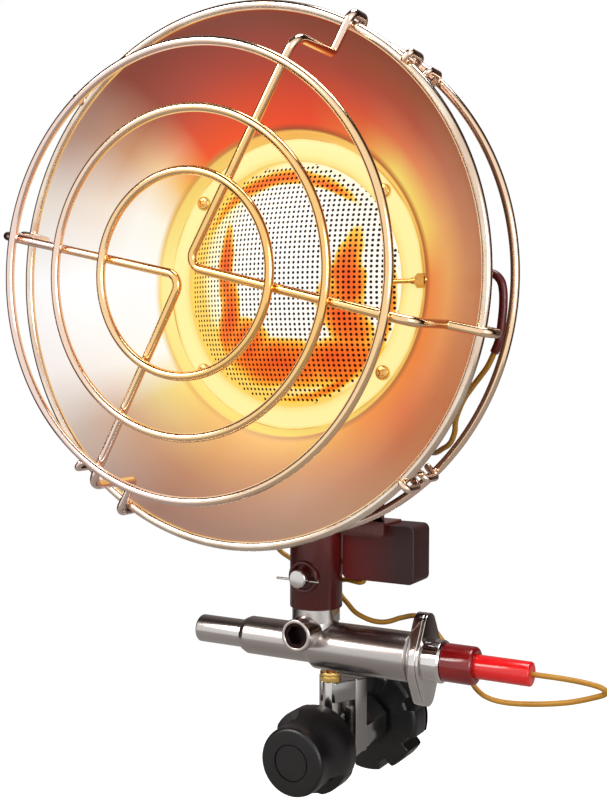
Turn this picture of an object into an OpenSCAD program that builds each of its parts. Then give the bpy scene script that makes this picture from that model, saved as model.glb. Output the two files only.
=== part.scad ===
// Tank-top propane heater: a round guarded reflector on a post, over a safety valve
// and a small regulator that screws sideways onto a gas tank.
// The origin is on the inlet axis where the nose leaves its shoulder. +Y points into
// the tank, +Z up, and the reflector faces -Y. Millimetres.

/* [Layout] */
// Height of the reflector axis above the inlet axis
dish_z = 265; // [255:1:285]
// Height of the safety valve axis above the inlet axis
valve_z = 61; // [59:0.5:66]
// Distance of the safety valve axis and the post in front of the nose shoulder
post_back = 96; // [95:0.5:98]

/* [Reflector] */
// Outer radius of the rolled rim
rim_r = 137.2; // [132:0.2:145]
// Diameter of the rolled rim bead
bead_d = 5; // [4:0.5:6]
// Depth from rim plane to the floor of the dish
dish_depth = 60; // [58:0.5:62]
// Radius of the recess that holds the burner
floor_r = 82; // [81:0.5:86]
// Depth of that recess below the end of the dish wall
recess_depth = 8.5; // [7.5:0.5:10]
// Thickness of the reflector sheet
sheet_t = 1; // [0.8:0.1:1.4]
// How far the dish wall bows back from a straight cone
dish_bow = 6; // [3:0.5:9]

/* [Burner] */
// Gap between the burner face ring and the wall of the recess
plate_gap = 3; // [2:0.5:4]
// Thickness of the burner face ring
plate_t = 1.5; // [1:0.1:2]
// Radius of the emitter opening
emitter_r = 66.5; // [60:0.5:67]
// Rise of the emitter dome
emitter_rise = 18; // [12:0.5:22]
// Thickness of the perforated emitter sheet
emitter_t = 0.6; // [0.5:0.1:1]
// Gap between the emitter dome and the inner screen
screen_gap = 4; // [3:0.5:6]
// Thickness of the inner screen
inner_t = 0.5; // [0.4:0.1:0.8]
// Distance of the face ring screws from the ring's outer edge
screw_edge = 5.5; // [5:0.1:6]
// Angle of the face ring screws from the horizontal
screw_lean = 40; // [36:1:45]
// Shank diameter of the face ring screws
screw_d = 4; // [3:0.5:4.5]
// Head diameter of the face ring screws
screw_head_d = 8; // [7:0.5:9]
// Outer radius of the plenum cup
plenum_r = 68.5; // [67.5:0.5:69]
// Depth of the plenum cup
plenum_depth = 9; // [8:0.5:11]
// Wall of the plenum cup
plenum_t = 1.2; // [1:0.1:1.6]
// Gap between the plenum cup and the post
plenum_gap = 1.9; // [1.5:0.1:4]
// Radius of the baffle disc in the plenum
baffle_r = 30; // [25:1:40]

/* [Guard] */
// Diameter of all guard wire
wire_d = 4.5; // [3.5:0.5:5]
// Ring radii, outer, middle and inner, at the wire's centre
outer_ring_r = 107.4; // [104:0.2:111]
middle_ring_r = 77.2; // [74:0.2:80]
inner_ring_r = 48.2; // [44:0.2:52]
// Distance of the ring plane in front of the rim plane
guard_stand = 44.6; // [40:0.2:50]
// Reach of a spoke past the outer ring before it turns back towards the rim
spoke_reach = 12.1; // [10:0.1:15]
// Radius of the bends in the guard wire
wire_bend_r = 7; // [6:0.5:8]
// Radius of the rear ring at the wire's centre
rear_ring_r = 134; // [131:0.5:137]
// Distance of the rear ring behind the rim plane
rear_ring_y = 39.7; // [36:0.5:44]
// Diameter of the clip wire
clip_d = 3.6; // [3:0.2:4]

/* [Post] */
// Outer diameter of the post
post_d = 30; // [29:0.5:31]
// Wall of the post
post_t = 2; // [1.6:0.1:2.4]
// Height of the post's lower end above the valve axis
post_foot = 22; // [21.6:0.1:23]
// Height of the elbow's shoulder on the post below the reflector axis
post_drop = 32; // [28:1:36]
// Height of the cross pin above the post's lower end
pin_up = 19; // [17:0.5:22]
// Diameter of the cross pin
pin_d = 6; // [5:0.5:6.5]
// Diameter of the cross pin's head
pin_head_d = 10.5; // [9:0.5:12]
// Outer diameter of the eyelet round the cross pin
eyelet_d = 18.6; // [17:0.2:20]
// Diameter of the neck collar
collar_d = 27.4; // [26.5:0.2:29]

/* [Safety valve] */
// Diameter of the thin end of the valve tube
tube_small_d = 22; // [21:0.5:23]
// Diameter of the thick end of the valve tube
tube_large_d = 27.5; // [26.5:0.5:28.5]
// Reach of the thin end to the left of the post
tube_left = 47; // [44:0.5:50]
// Reach of the thick end to the right of the post
tube_right = 60.5; // [57:0.5:61]
// Diameter of the push rod
rod_d = 16.2; // [15:0.2:17]
// Length of push rod that shows
rod_out = 32; // [28:0.5:35]
// Travel of the push rod
push_travel = 6; // [4:0.5:7]
// Radial running clearance of the moving pieces
run_gap = 0.05; // [0.02:0.01:0.08]
// Diameter of the plug boss
boss_d = 18.3; // [17:0.1:19]
// Height of the plug boss axis above the valve axis
boss_up = 9.5; // [8:0.5:11]
// Reach of the plug boss in front of the valve axis
boss_out = 24; // [22:0.5:26]
// Width across flats of the hex socket
hex_af = 10; // [8:0.5:10.5]
// Thickness of the oval flange
flange_t = 7.5; // [6:0.5:8]
// Height of the oval flange
flange_h = 52; // [48:1:56]
// Width of the oval flange
flange_w = 34; // [32:1:36]
// Diameter and length of the bright union collar
union_d = 23.4; // [22:0.2:25]
union_l = 12; // [10:0.5:13]
// Diameter and length of the dark red collar
terminal_d = 20.7; // [19:0.1:22]
terminal_l = 18; // [16:0.5:20]
// Diameter of the bright red sleeve
sleeve_d = 13; // [11:0.5:14]
// Length of red sleeve that shows
sleeve_out = 30.5; // [28:0.5:32]
// Diameter of the leads
lead_d = 3; // [2.4:0.1:3.4]

/* [Tilt switch] */
// Width of the switch case
case_w = 44.5; // [42:0.5:46]
// Depth of the switch case
case_depth = 22; // [20:0.5:24]
// Height of the switch case
case_h = 32.5; // [30:0.5:34]
// Radius of the switch case's corners, seen from the front
case_r = 3.5; // [2:0.5:5]
// Wall of the switch case
case_t = 2; // [1.5:0.1:2.4]
// Diameter of the tilt ball
ball_d = 12; // [10:0.5:13]
// Rolling travel of the tilt ball to each side
ball_travel = 8; // [6:0.5:9]

/* [Regulator] */
// Width across flats of the eight-sided inlet neck
neck_af = 31; // [30:0.2:33]
// Length of the inlet neck
neck_l = 28; // [26:0.5:29]
// Length of the slab between neck and arm
slab_l = 8; // [7:0.5:9]
// Height of the slab's top above the inlet axis
slab_top = 35.3; // [34:0.1:36.5]
// Drop of the slab's foot below the inlet axis
slab_drop = 9; // [8:0.5:12]
// Height of the outlet arm
arm_h = 12.3; // [11:0.1:14]
// Width of the outlet riser
riser_d = 10; // [9:0.5:10.5]
// Distance of the riser in front of the nose shoulder
riser_back = 78; // [77:0.5:79]
// Diameter of the brass nut
nut_d = 12.4; // [11.5:0.1:13]
// Height of the brass nut
nut_h = 6; // [5:0.5:6.5]
// Diameter of the copper supply pipe
pipe_d = 5; // [4:0.5:5.5]

/* [Knob] */
// Diameter of the knob's front hub
knob_hub_d = 39; // [36:0.5:42]
// Length of the front hub
knob_hub_l = 21; // [18:0.5:24]
// Diameter of the knob's skirt
knob_skirt_d = 49.5; // [47:0.5:52]
// Length of the skirt
knob_skirt_l = 12.5; // [11:0.5:14]
// Number of grip ribs
knob_ribs = 4; // [3:1:8]
// Diameter of the knob's spindle
spindle_d = 8; // [7:0.5:9]

/* [Tank nut] */
// Outer radius of the hand wheel at its lobes
wheel_r = 33; // [31:0.5:36]
// Depth of the notches between the lobes
notch_depth = 4.6; // [3:0.2:6]
// Number of lobes
lobes = 8; // [6:1:10]
// Depth of the lobed part
lobe_l = 21; // [19:0.5:22]
// Radius of the tank thread in the hand wheel
thread_r = 16.7; // [16.2:0.1:17.2]
// Diameter of the inlet shank
shank_d = 14; // [13:0.5:15]
// Diameter of the sealing nose
nose_d = 11; // [10:0.5:11.5]
// Length of the nose's cylinder past its shoulder
nose_l = 8; // [6:0.5:10]

/* [Hidden] */

$fn = 72;
seat = 0.05;          // face gap between pieces that rest on each other
fit = 0.1;            // radial clearance of a fixed piece in its hole
part_gap = 0.3;       // gap between pieces of different bodies

// Burner stack, measured back from the rim plane
bead_r = bead_d / 2;
plate_r = floor_r - plate_gap;
screw_circle_r = plate_r - screw_edge;
screw_angles = [screw_lean, 180 - screw_lean, 180 + screw_lean, -screw_lean];
flange_back = dish_depth - seat;                  // back of the inner screen's flange
inner_front = flange_back - inner_t;
emitter_back = inner_front - seat;
emitter_front = emitter_back - emitter_t;
plate_back = emitter_front - seat;
plate_front = plate_back - plate_t;
gasket_t = 1;
gasket_front = dish_depth + sheet_t + seat;
plenum_front = gasket_front + gasket_t + seat;
plenum_flange_t = 1.5;
plenum_back = plenum_front + plenum_depth;
rim_back = post_back + post_d / 2 + plenum_gap + plenum_back;   // rim plane in front of the nose
screen_flange_r = plate_r - 2;
floor_hole_r = plenum_r - plenum_t;
boss_len = 5;                                     // nut bosses behind the plenum flange
step_r = floor_r + 2.5;                           // the wall ends at the recess's rounded edge
step_back = dish_depth - recess_depth;
bead_c = [rim_r - bead_r, 0];                     // centre of the rolled bead
bead_from = 170;                                  // the bead runs round from the dish's face
bead_to = 470;                                    // to its back
wall_steps = 10;

// Elbow behind the plenum
post_r = post_d / 2;
bore_r = post_r - post_t;
elbow_port_r = 12.5;
elbow_flange_r = 23;
elbow_flange_t = 2;
elbow_screw_r = 18.5;
elbow_screw_angles = [45, 135, 225, 315];
elbow_screw_d = 3;
elbow_front = plenum_back + seat;
post_rim_y = rim_back - post_back;                // post axis behind the rim plane
shoulder_z = dish_z - post_drop;
elbow_top = dish_z + 17;
spigot_l = 12;

// Post and neck
post_z = valve_z + post_foot;
pin_z = post_z + pin_up;
eyelet_front = post_back + post_r + 1.3;
pin_head_l = 4;
pin_front = eyelet_front + 6.4;
neck_spigot_r = bore_r - fit;
neck_spigot_l = pin_up + pin_d / 2 + 5;           // ends above the cross pin
neck_bore_r = 7;
neck_port_r = 4.5;
pad_z = valve_z + tube_large_d / 2 + 0.5;         // flat on the valve body under the collar
jet_z = post_z + neck_spigot_l;

// Safety valve, X positions along its axis
seat_x = 5;
seat_t = 4;
disc_t = 3;
rod_tail_x = -24;
rod_tip_x = -tube_left - rod_out;
stem_d = 4;
chamber_r = 9;
magnet_x = seat_x + seat_t + disc_t + push_travel + 8;   // clears the disc with the rod pushed in
inlet_x = 16;
inlet_up = -3;                                    // height of the gas inlet on the valve axis
supply_bend_r = 5.5;
supply_turn_r = 3.2;                              // tighter bend beside the valve
inlet_boss_l = post_back - riser_back - supply_turn_r - fit;   // stops short of that bend
flange_x = tube_right + seat;
union_x = flange_x + flange_t + seat;
terminal_x = union_x + union_l + seat;
sleeve_in = 8;                                    // length of sleeve inside the collar
sleeve_x = terminal_x + terminal_l - sleeve_in;
sleeve_end = terminal_x + terminal_l + sleeve_out;
flange_y = 7;                                     // flange stands this far behind the axis

// Tilt switch
case_x = post_r + 0.5;
case_back = 72;
case_z = pin_z - 2;
cover_t = 2.5;
cover_inset = 1;                                  // cover sits inside the rounded back edge
cover_lip = 3;
lug_screw_y = -(case_back + case_depth / 2);
lug_end = lug_screw_y + 5.5;
bracket_inset = 2;                                // the panel starts this far inside the case's side
bracket_x = case_x + bracket_inset;
bracket_w = 27.5;
bracket_lap = 6.4;                                // the panel hangs this far over the case
bracket_corner_r = 2.6;
bracket_t = 1.5;
bracket_y = -(case_back + case_depth + 6);
bracket_foot = case_z + case_h - bracket_lap;
bracket_top = dish_z - sqrt(pow(plenum_r, 2) - pow(bracket_x + bracket_w, 2)) - 4;
tab_y = -rim_back + plenum_back + seat;
tab_h = 20;
tab_screw_up = 13;
bracket_screw_head_r = 2.8;
bracket_screw_d = 3;
lug_z = case_z + case_h + seat;

// Thermocouple
probe_d = 2.4;
probe_ferrule_d = 3.4;
probe_ferrule_l = 3;
probe_body_d = 4.6;
probe_depth = dish_depth - 6.4;
probe_y = -rim_back + probe_depth;
probe_tip_x = emitter_r - 3.5;
probe_nut_af = 6.5;
probe_nut_r = probe_nut_af / 2 / cos(30);
probe_nut_t = 5;
probe_nut_x = floor_r - seat - probe_nut_t;       // seats on the wall of the recess
lock_nut_x = wall_radius(probe_depth - probe_nut_r) + 2 * sheet_t;
crimp_x = lock_nut_x + probe_nut_t + 1;
probe_end_x = crimp_x + 4;

// Regulator and knob
neck_reach = 33;                                  // distances in front of the nose shoulder
neck_back = -neck_reach;
neck_front = neck_back - neck_l;
slab_front = neck_front - slab_l;
arm_z = slab_top - arm_h;
chest_w = 16;
chest_top = 16;
chest_reach = 90;
chest_l = 16;
chest_front = -chest_reach;
chest_back = chest_front + chest_l;
chest_drop = 12;
riser_top = slab_top - seat;
nut_z = slab_top;
knob_back = chest_front - 1.2;
knob_step = knob_back - knob_skirt_l;
knob_front = knob_step - knob_hub_l;
cap_d = 20;
cap_t = 1.5;
spindle_in = 18;                                  // length of spindle inside the knob
spindle_tail = chest_back - 4;

// Tank nut
hub_gap = 0.3;
hub_r = 12;
wheel_front = neck_back + hub_gap;
lobe_front = wheel_front + 3;
lobe_back = lobe_front + lobe_l;
wheel_back = 0;
rear_r = wheel_r - notch_depth - 3;
web_back = lobe_front + 6;
retainer_d = 20;
retainer_l = 3;
nose_shank_d = 12.4;
seal_d = 1.8;

// Routes of the leads: round points chosen by hand along the wires
lead_gap = 0.4;                                   // gap between a lead's end and its housing
sensor_route = [[probe_end_x + lead_gap, probe_y, dish_z], [105, -130.8, 265.6], [112, -131, 267],
    [118, -131, 267.2], [121.8, -131, 264], [123.2, -131, 259], [123.4, -131, 252],
    [122.8, -131, 244.5], [121.4, -131, 234.7], [118.8, -130.5, 228.5], [115.3, -130, 221.8],
    [111.3, -129.5, 216.6], [106.5, -128.5, 211], [101.5, -128, 204], [97.5, -127, 195],
    [96, -125, 188], [92, -121, 182], [85.5, -115, 178.5], [75, -104, 175], [60, -95, 178],
    [46, -88, 178], [36, -83, 170], [30, -79, 158], [26, -76, 146], [24, -75, 138],
    [24, -75, case_z + case_h + lead_gap]];
sleeve_points = 10;                               // the sleeve covers this many points
lead_sides = 8;
sleeve_wall = 0.5;
cross_route = [[27, -89, case_z - lead_gap], [26.6, -89, case_z - 1.6], [24, -88.7, case_z - 2.4],
    [19, -86.5, case_z - 2.5], [13, -83, case_z - 2.8], [6, -79.5, case_z - 4.5],
    [0, -79, case_z - 5.2], [-8, -79.5, case_z - 4], [-16, -79, case_z - 2],
    [-22, -76, case_z + 1], [-30, -75, case_z + 5],
    [-37, -75, case_z + 9], [-45, -78, 120], [-51, -86, 138], [-52, -95, 162], [-45, -101, 190],
    [-38, -103, 211], [-36, -106.5, 221], [-36, -rim_back + plenum_back + lead_gap, 222]];
loop_route = [[sleeve_end - 6, -post_back, valve_z], [sleeve_end, -post_back, valve_z],
    [146, -96, 61], [158, -95, 60], [164.8, -93, 58], [165.8, -91, 55], [160, -90, 52],
    [146, -89, 47], [129, -89, 43.5], [113, -88, 41.5], [102, -87, 42], [94, -84, 44.5],
    [86, -77, 49], [78, -70, 54], [68, -66, 62], [60, -68, 72], [55, -77, 79.5], [48, -83, 79],
    [42, -85, 76.8], [37, -85, 75.6], [31, -85, 75.6], [25, -85, 77], [18.5, -83.5, 79.2],
    [12, -80, 82.8], [6, -76.5, 86], [2, -74, 91], [3, -73, 97], [7, -74, 103], [11.5, -76.3, 106],
    [case_x - lead_gap, -77, 106.5]];

// ---- shared shapes ----

// Stands children on the reflector axis: local z runs back from the rim plane
module on_dish() translate([0, -rim_back, dish_z]) rotate([-90, 0, 0]) children();

// Cylinder along +Y from a to b
module along_y(a, b, r, r2 = undef) {
    translate([0, a, 0]) rotate([-90, 0, 0])
        cylinder(h = b - a, r1 = r, r2 = is_undef(r2) ? r : r2);
}

// Cylinder along +X from a to b
module along_x(a, b, r, r2 = undef) {
    translate([a, 0, 0]) rotate([0, 90, 0])
        cylinder(h = b - a, r1 = r, r2 = is_undef(r2) ? r : r2);
}

module on_valve() translate([0, -post_back, valve_z]) children();

module ring_plate(z0, z1, r_in, r_out) {
    translate([0, 0, z0]) difference() {
        cylinder(h = z1 - z0, r = r_out, $fn = 144);
        translate([0, 0, -1]) cylinder(h = z1 - z0 + 2, r = r_in, $fn = 144);
    }
}

module at_screws(r = screw_circle_r, angles = screw_angles) {
    for (a = angles) rotate([0, 0, a]) translate([r, 0, 0]) children();
}

module wire_ring(r, d) rotate_extrude($fn = 144) translate([r, 0]) circle(d = d, $fn = 24);

function unit(v) = v / norm(v);

// Straight rod from a to b
module rod(a, b, d) {
    v = b - a;
    if (norm(v) > 0.01)
        translate(a) rotate([0, acos(v[2] / norm(v)), atan2(v[1], v[0])])
            cylinder(h = norm(v), d = d, $fn = 24);
}

// One round bend at corner p, between the directions u and w. It is a hair thicker than
// the straight runs and laps over their ends.
bend_lap = 1;
bend_swell = 0.04;
module wire_bend(p, u, w, r, d) {
    turn = acos(u * w);
    side = unit(w - u * (u * w));
    c = p - u * r * tan(turn / 2) + side * r;
    x = -side;
    z = cross(x, u);
    multmatrix([[x[0], u[0], z[0], c[0]], [x[1], u[1], z[1], c[1]], [x[2], u[2], z[2], c[2]]])
        rotate([0, 0, -bend_lap]) rotate_extrude(angle = turn + 2 * bend_lap, $fn = 48)
            translate([r, 0]) circle(d = d + bend_swell, $fn = 24);
}

// Bent wire through corner points, each corner rounded by its own radius
module bent_wire(pts, bends, d) {
    last = len(pts) - 1;
    dirs = [for (i = [0:last - 1]) unit(pts[i + 1] - pts[i])];
    trim = [for (i = [0:last]) i == 0 || i == last ? 0
        : bends[i - 1] * tan(acos(dirs[i - 1] * dirs[i]) / 2)];
    for (i = [0:last - 1]) rod(pts[i] + dirs[i] * trim[i], pts[i + 1] - dirs[i] * trim[i + 1], d);
    for (i = [1:last - 1]) wire_bend(pts[i], dirs[i - 1], dirs[i], bends[i - 1], d);
}

// Smooth curve through the route's points, with two rings to each span
function curve_at(p, i, t) = let (
    a = p[max(i - 1, 0)], b = p[i], c = p[min(i + 1, len(p) - 1)], e = p[min(i + 2, len(p) - 1)])
    0.5 * (2 * b + (c - a) * t + (2 * a - 5 * b + 4 * c - e) * t * t
        + (3 * b - a - 3 * c + e) * t * t * t);
function curve(p) = concat([for (i = [0:len(p) - 2], t = [0, 0.5]) curve_at(p, i, t)],
    [p[len(p) - 1]]);

// Unit vectors square to each ring, carried along the curve so that they never flip
function tangent(c, i) = unit(c[min(i + 1, len(c) - 1)] - c[max(i - 1, 0)]);
function carried(c, i, v) = let (t = tangent(c, i)) unit(v - t * (v * t));
function normals(c, i = 0, v = [0.3, 0.5, 0.8], done = []) = i == len(c) ? done
    : let (n = carried(c, i, v)) normals(c, i + 1, n, concat(done, [n]));

module lead(route, d, sides = lead_sides) {
    c = curve(route);
    n = normals(c);
    rings = len(c);
    pts = [for (i = [0:rings - 1], k = [0:sides - 1])
        let (a = k * 360 / sides, b = cross(tangent(c, i), n[i]))
        c[i] + (n[i] * cos(a) + b * sin(a)) * d / 2];
    skin = [for (i = [0:rings - 2], k = [0:sides - 1])
        let (p = i * sides + k, q = i * sides + (k + 1) % sides)
        each [[p, p + sides, q], [q, p + sides, q + sides]]];
    polyhedron(points = pts, faces = concat([[for (k = [0:sides - 1]) k]],
        skin, [[for (k = [sides - 1:-1:0]) (rings - 1) * sides + k]]));
}

module rounded_block(w, d, h, r) {
    linear_extrude(height = h) union() {
        translate([r, 0]) square([w - 2 * r, d]);
        translate([0, r]) square([w, d - 2 * r]);
        for (x = [r, w - r], y = [r, d - r]) translate([x, y]) circle(r = r, $fn = 32);
    }
}

// ---- burner head ----

function on_bead(a) = bead_c + bead_r * [cos(a), sin(a)];
function wall_point(t, off) = let (
    a = on_bead(bead_from), b = [step_r, step_back - 0.5], n = unit([b[1] - a[1], a[0] - b[0]]),
    mid = (a + b) / 2 + n * 2 * dish_bow)
    (1 - t) * (1 - t) * a + 2 * t * (1 - t) * mid + t * t * b + n * off;

// Radius of the dish wall's inner face at a depth behind the rim plane
function wall_radius(depth) = lookup(depth,
    [for (i = [0:wall_steps]) let (p = wall_point(i / wall_steps, 0)) [p[1], p[0]]]);

module reflector() {
    bead = [for (a = [bead_to:-20:bead_from]) on_bead(a)];
    front = [for (i = [1:wall_steps]) wall_point(i / wall_steps, 0)];
    back = [for (i = [wall_steps:-1:1]) wall_point(i / wall_steps, sheet_t)];
    color([0.72, 0.55, 0.45]) difference() {
        on_dish() difference() {
            rotate_extrude($fn = 144) polygon(concat(bead, front, [[floor_r, step_back],
                [floor_r, dish_depth], [floor_hole_r, dish_depth],
                [floor_hole_r, dish_depth + sheet_t], [floor_r + sheet_t, dish_depth + sheet_t],
                [floor_r + sheet_t, step_back + sheet_t]], back));
            at_screws() cylinder(h = dish_depth + 10, d = screw_d + 2 * fit, $fn = 24);
        }
        translate([probe_tip_x, probe_y, dish_z]) rotate([0, 90, 0])
            cylinder(h = rim_r, d = probe_body_d + 2 * fit, $fn = 24);
    }
}

module burner_plate() {
    color([0.95, 0.85, 0.6]) on_dish() difference() {
        ring_plate(plate_front, plate_back, emitter_r, plate_r);
        at_screws() translate([0, 0, plate_front - 1])
            cylinder(h = plate_t + 2, d = screw_d + 2 * fit, $fn = 24);
    }
}

// Spherical cap sheet with a flat flange, open side to the back
module dome_sheet(r, rise, t, flange_front, flange_r) {
    ball_r = (r * r + rise * rise) / (2 * rise);
    centre_z = flange_front - rise + ball_r;
    on_dish() difference() {
        union() {
            intersection() {
                translate([0, 0, centre_z]) difference() {
                    sphere(r = ball_r, $fn = 144);
                    sphere(r = ball_r - t, $fn = 144);
                }
                translate([0, 0, flange_front - rise - 1]) cylinder(h = rise + 1 + t, r = r, $fn = 144);
            }
            ring_plate(flange_front, flange_front + t, r - 1, flange_r);
        }
        at_screws() translate([0, 0, flange_front - 1])
            cylinder(h = t + 2, d = screw_d + 2 * fit, $fn = 24);
    }
}

module emitter_screen() {
    color([1, 0.9, 0.7]) dome_sheet(emitter_r - 0.3, emitter_rise, emitter_t, emitter_front,
        screen_flange_r);
}

module inner_screen() {
    color([0.95, 0.45, 0.15]) dome_sheet(emitter_r - 2, emitter_rise - screen_gap, inner_t,
        inner_front, screen_flange_r);
}

module plenum_gasket() {
    color([0.9, 0.9, 0.85]) on_dish() difference() {
        ring_plate(gasket_front, gasket_front + gasket_t, floor_hole_r, screen_flange_r);
        at_screws() translate([0, 0, gasket_front - 1])
            cylinder(h = gasket_t + 2, d = screw_d + 2 * fit, $fn = 24);
    }
}

module burner_plenum() {
    boss_r = screw_d / 2 + 1.6;
    color([0.35, 0.32, 0.3]) on_dish() difference() {
        union() {
            ring_plate(plenum_front, plenum_front + plenum_flange_t, floor_hole_r, plate_r - 1);
            ring_plate(plenum_front, plenum_back, floor_hole_r, plenum_r);
            ring_plate(plenum_back - plenum_t, plenum_back, elbow_port_r, plenum_r);
            at_screws() translate([0, 0, plenum_front]) cylinder(h = boss_len, r = boss_r);
        }
        at_screws() translate([0, 0, plenum_front - 1])
            cylinder(h = boss_len + 2, d = screw_d + 2 * fit, $fn = 24);
        at_screws(elbow_screw_r, elbow_screw_angles) translate([0, 0, plenum_back - plenum_t - 1])
            cylinder(h = plenum_t + 2, d = elbow_screw_d + 2 * fit, $fn = 24);
    }
}

module plenum_baffle() {
    disc_t = 1;
    leg_r = 1.5;
    legs_at = baffle_r - 4;
    disc_front = plenum_front + plenum_depth * 0.35;
    leg_l = plenum_back - plenum_t - seat - disc_front - disc_t;
    color([0.5, 0.48, 0.45]) on_dish() {
        translate([0, 0, disc_front]) cylinder(h = disc_t, r = baffle_r);
        for (a = [0, 120, 240]) rotate([0, 0, a]) translate([legs_at, 0, disc_front + disc_t])
            cylinder(h = leg_l, r = leg_r, $fn = 16);
    }
}

module plate_screws() {
    shank_l = plenum_front + boss_len - plate_front;
    head_h = 2.6;
    color([0.75, 0.6, 0.4]) on_dish() at_screws() translate([0, 0, plate_front]) difference() {
        union() {
            cylinder(h = shank_l, d = screw_d, $fn = 24);
            translate([0, 0, -head_h]) cylinder(h = head_h - seat, d1 = screw_head_d * 0.6,
                d2 = screw_head_d, $fn = 32);
            translate([0, 0, -seat - 0.01]) cylinder(h = seat + 0.02, d = screw_d, $fn = 24);
        }
        translate([-3, -0.5, -head_h - 1]) cube([6, 1, 2]);
        translate([-0.5, -3, -head_h - 1]) cube([1, 6, 2]);
    }
}

module mixing_elbow() {
    top_t = 2.5;
    color([0.4, 0.36, 0.34]) difference() {
        union() {
            translate([0, -post_back, shoulder_z]) cylinder(h = elbow_top - shoulder_z, r = post_r);
            translate([0, -post_back, shoulder_z - spigot_l])
                cylinder(h = spigot_l + 1, r = bore_r - fit);
            on_dish() translate([0, 0, elbow_front])
                cylinder(h = post_rim_y - elbow_front, r = elbow_port_r + 2);
            on_dish() translate([0, 0, elbow_front]) cylinder(h = elbow_flange_t, r = elbow_flange_r);
        }
        translate([0, -post_back, shoulder_z - spigot_l - 1])
            cylinder(h = elbow_top - shoulder_z + spigot_l + 1 - top_t, r = bore_r - fit - 1.5);
        on_dish() translate([0, 0, elbow_front - 1])
            cylinder(h = post_rim_y - elbow_front + 1, r = elbow_port_r - 1);
        on_dish() at_screws(elbow_screw_r, elbow_screw_angles) translate([0, 0, elbow_front - 1])
            cylinder(h = elbow_flange_t + 2, d = elbow_screw_d + 2 * fit, $fn = 24);
    }
}

module elbow_screws() {
    head_h = 1.8;
    color([0.6, 0.6, 0.6]) on_dish() at_screws(elbow_screw_r, elbow_screw_angles) {
        translate([0, 0, plenum_back - 4])
            cylinder(h = elbow_flange_t + 4 + 2 * seat, d = elbow_screw_d, $fn = 24);
        translate([0, 0, elbow_front + elbow_flange_t + seat])
            cylinder(h = head_h, d = 5.4, $fn = 24);
    }
}

module thermocouple() {
    color([0.8, 0.65, 0.4]) translate([0, probe_y, dish_z]) {
        along_x(probe_tip_x, probe_nut_x, probe_d / 2);
        along_x(probe_nut_x - probe_ferrule_l, probe_nut_x, probe_ferrule_d / 2);
        along_x(probe_nut_x - 1, crimp_x, probe_body_d / 2);
        along_x(crimp_x - 1, probe_end_x, lead_d / 2 + 0.6);
    }
}

module thermocouple_nuts() {
    module nut(x, t) translate([x, probe_y, dish_z]) rotate([0, 90, 0]) difference() {
        cylinder(h = t, r = probe_nut_r, $fn = 6);
        translate([0, 0, -1]) cylinder(h = t + 2, d = probe_body_d + 2 * fit, $fn = 32);
    }
    color([0.85, 0.7, 0.45]) {
        nut(probe_nut_x, probe_nut_t);
        nut(lock_nut_x, probe_nut_t - 1);
    }
}

// ---- wire guard ----

ring_y = -rim_back - guard_stand;
spoke_y = ring_y + wire_d + seat;                 // spokes lie just behind the rings
spoke_turn_r = outer_ring_r + spoke_reach;
hook_gap = 0.2;
hook_r = rim_r + wire_d / 2 + 0.6;                // the hooks wrap closely round the bead
hook_front = -rim_back - bead_r - wire_d / 2 - hook_gap;
hook_back = -rim_back + bead_r + wire_d / 2 + 3.7;
hook_bend_r = 4.4;
sharp_bend_r = 2.6;
vertex_bend_r = 6;
function polar(a, r, y) = [r * cos(a), y, dish_z + r * sin(a)];

module guard_ring(r) color([0.8, 0.72, 0.66]) translate([0, ring_y, dish_z]) rotate([90, 0, 0])
    wire_ring(r, wire_d);
module guard_outer_ring() guard_ring(outer_ring_r);
module guard_middle_ring() guard_ring(middle_ring_r);
module guard_inner_ring() guard_ring(inner_ring_r);

// A spoke is one wire: hook, leg, rounded vertex, leg, hook
lower_vertex = [-2.5, -0.8];                      // corners of the two spokes beside the axis, the
upper_vertex = [0.3, -3.9];                       // upper one before it is turned half round
spoke_angles = [168.5, 240.5];
clip_angles = [45.5, 134.5, 225.5, 314.5];
module guard_spoke(turn, vertex) {
    v = [vertex[0], spoke_y, dish_z + vertex[1]];
    a = spoke_angles[0];
    b = spoke_angles[1];
    tip_r = rim_r - 3;
    color([0.8, 0.72, 0.66]) translate([0, 0, dish_z]) rotate([0, turn, 0]) translate([0, 0, -dish_z])
        bent_wire([polar(a, tip_r, hook_back), polar(a, hook_r, hook_back),
            polar(a, hook_r, hook_front), polar(a, spoke_turn_r, hook_front),
            polar(a, spoke_turn_r, spoke_y), v, polar(b, spoke_turn_r, spoke_y),
            polar(b, spoke_turn_r, hook_front), polar(b, hook_r, hook_front),
            polar(b, hook_r, hook_back), polar(b, tip_r, hook_back)],
            [hook_bend_r, hook_bend_r, sharp_bend_r, wire_bend_r, vertex_bend_r,
                wire_bend_r, sharp_bend_r, hook_bend_r, hook_bend_r], wire_d);
}
module guard_spoke_lower() guard_spoke(0, lower_vertex);
module guard_spoke_upper() guard_spoke(180, upper_vertex);

module guard_rear_ring() color([0.8, 0.72, 0.66]) translate([0, -rim_back + rear_ring_y, dish_z])
    rotate([90, 0, 0]) wire_ring(rear_ring_r, wire_d);

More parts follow.
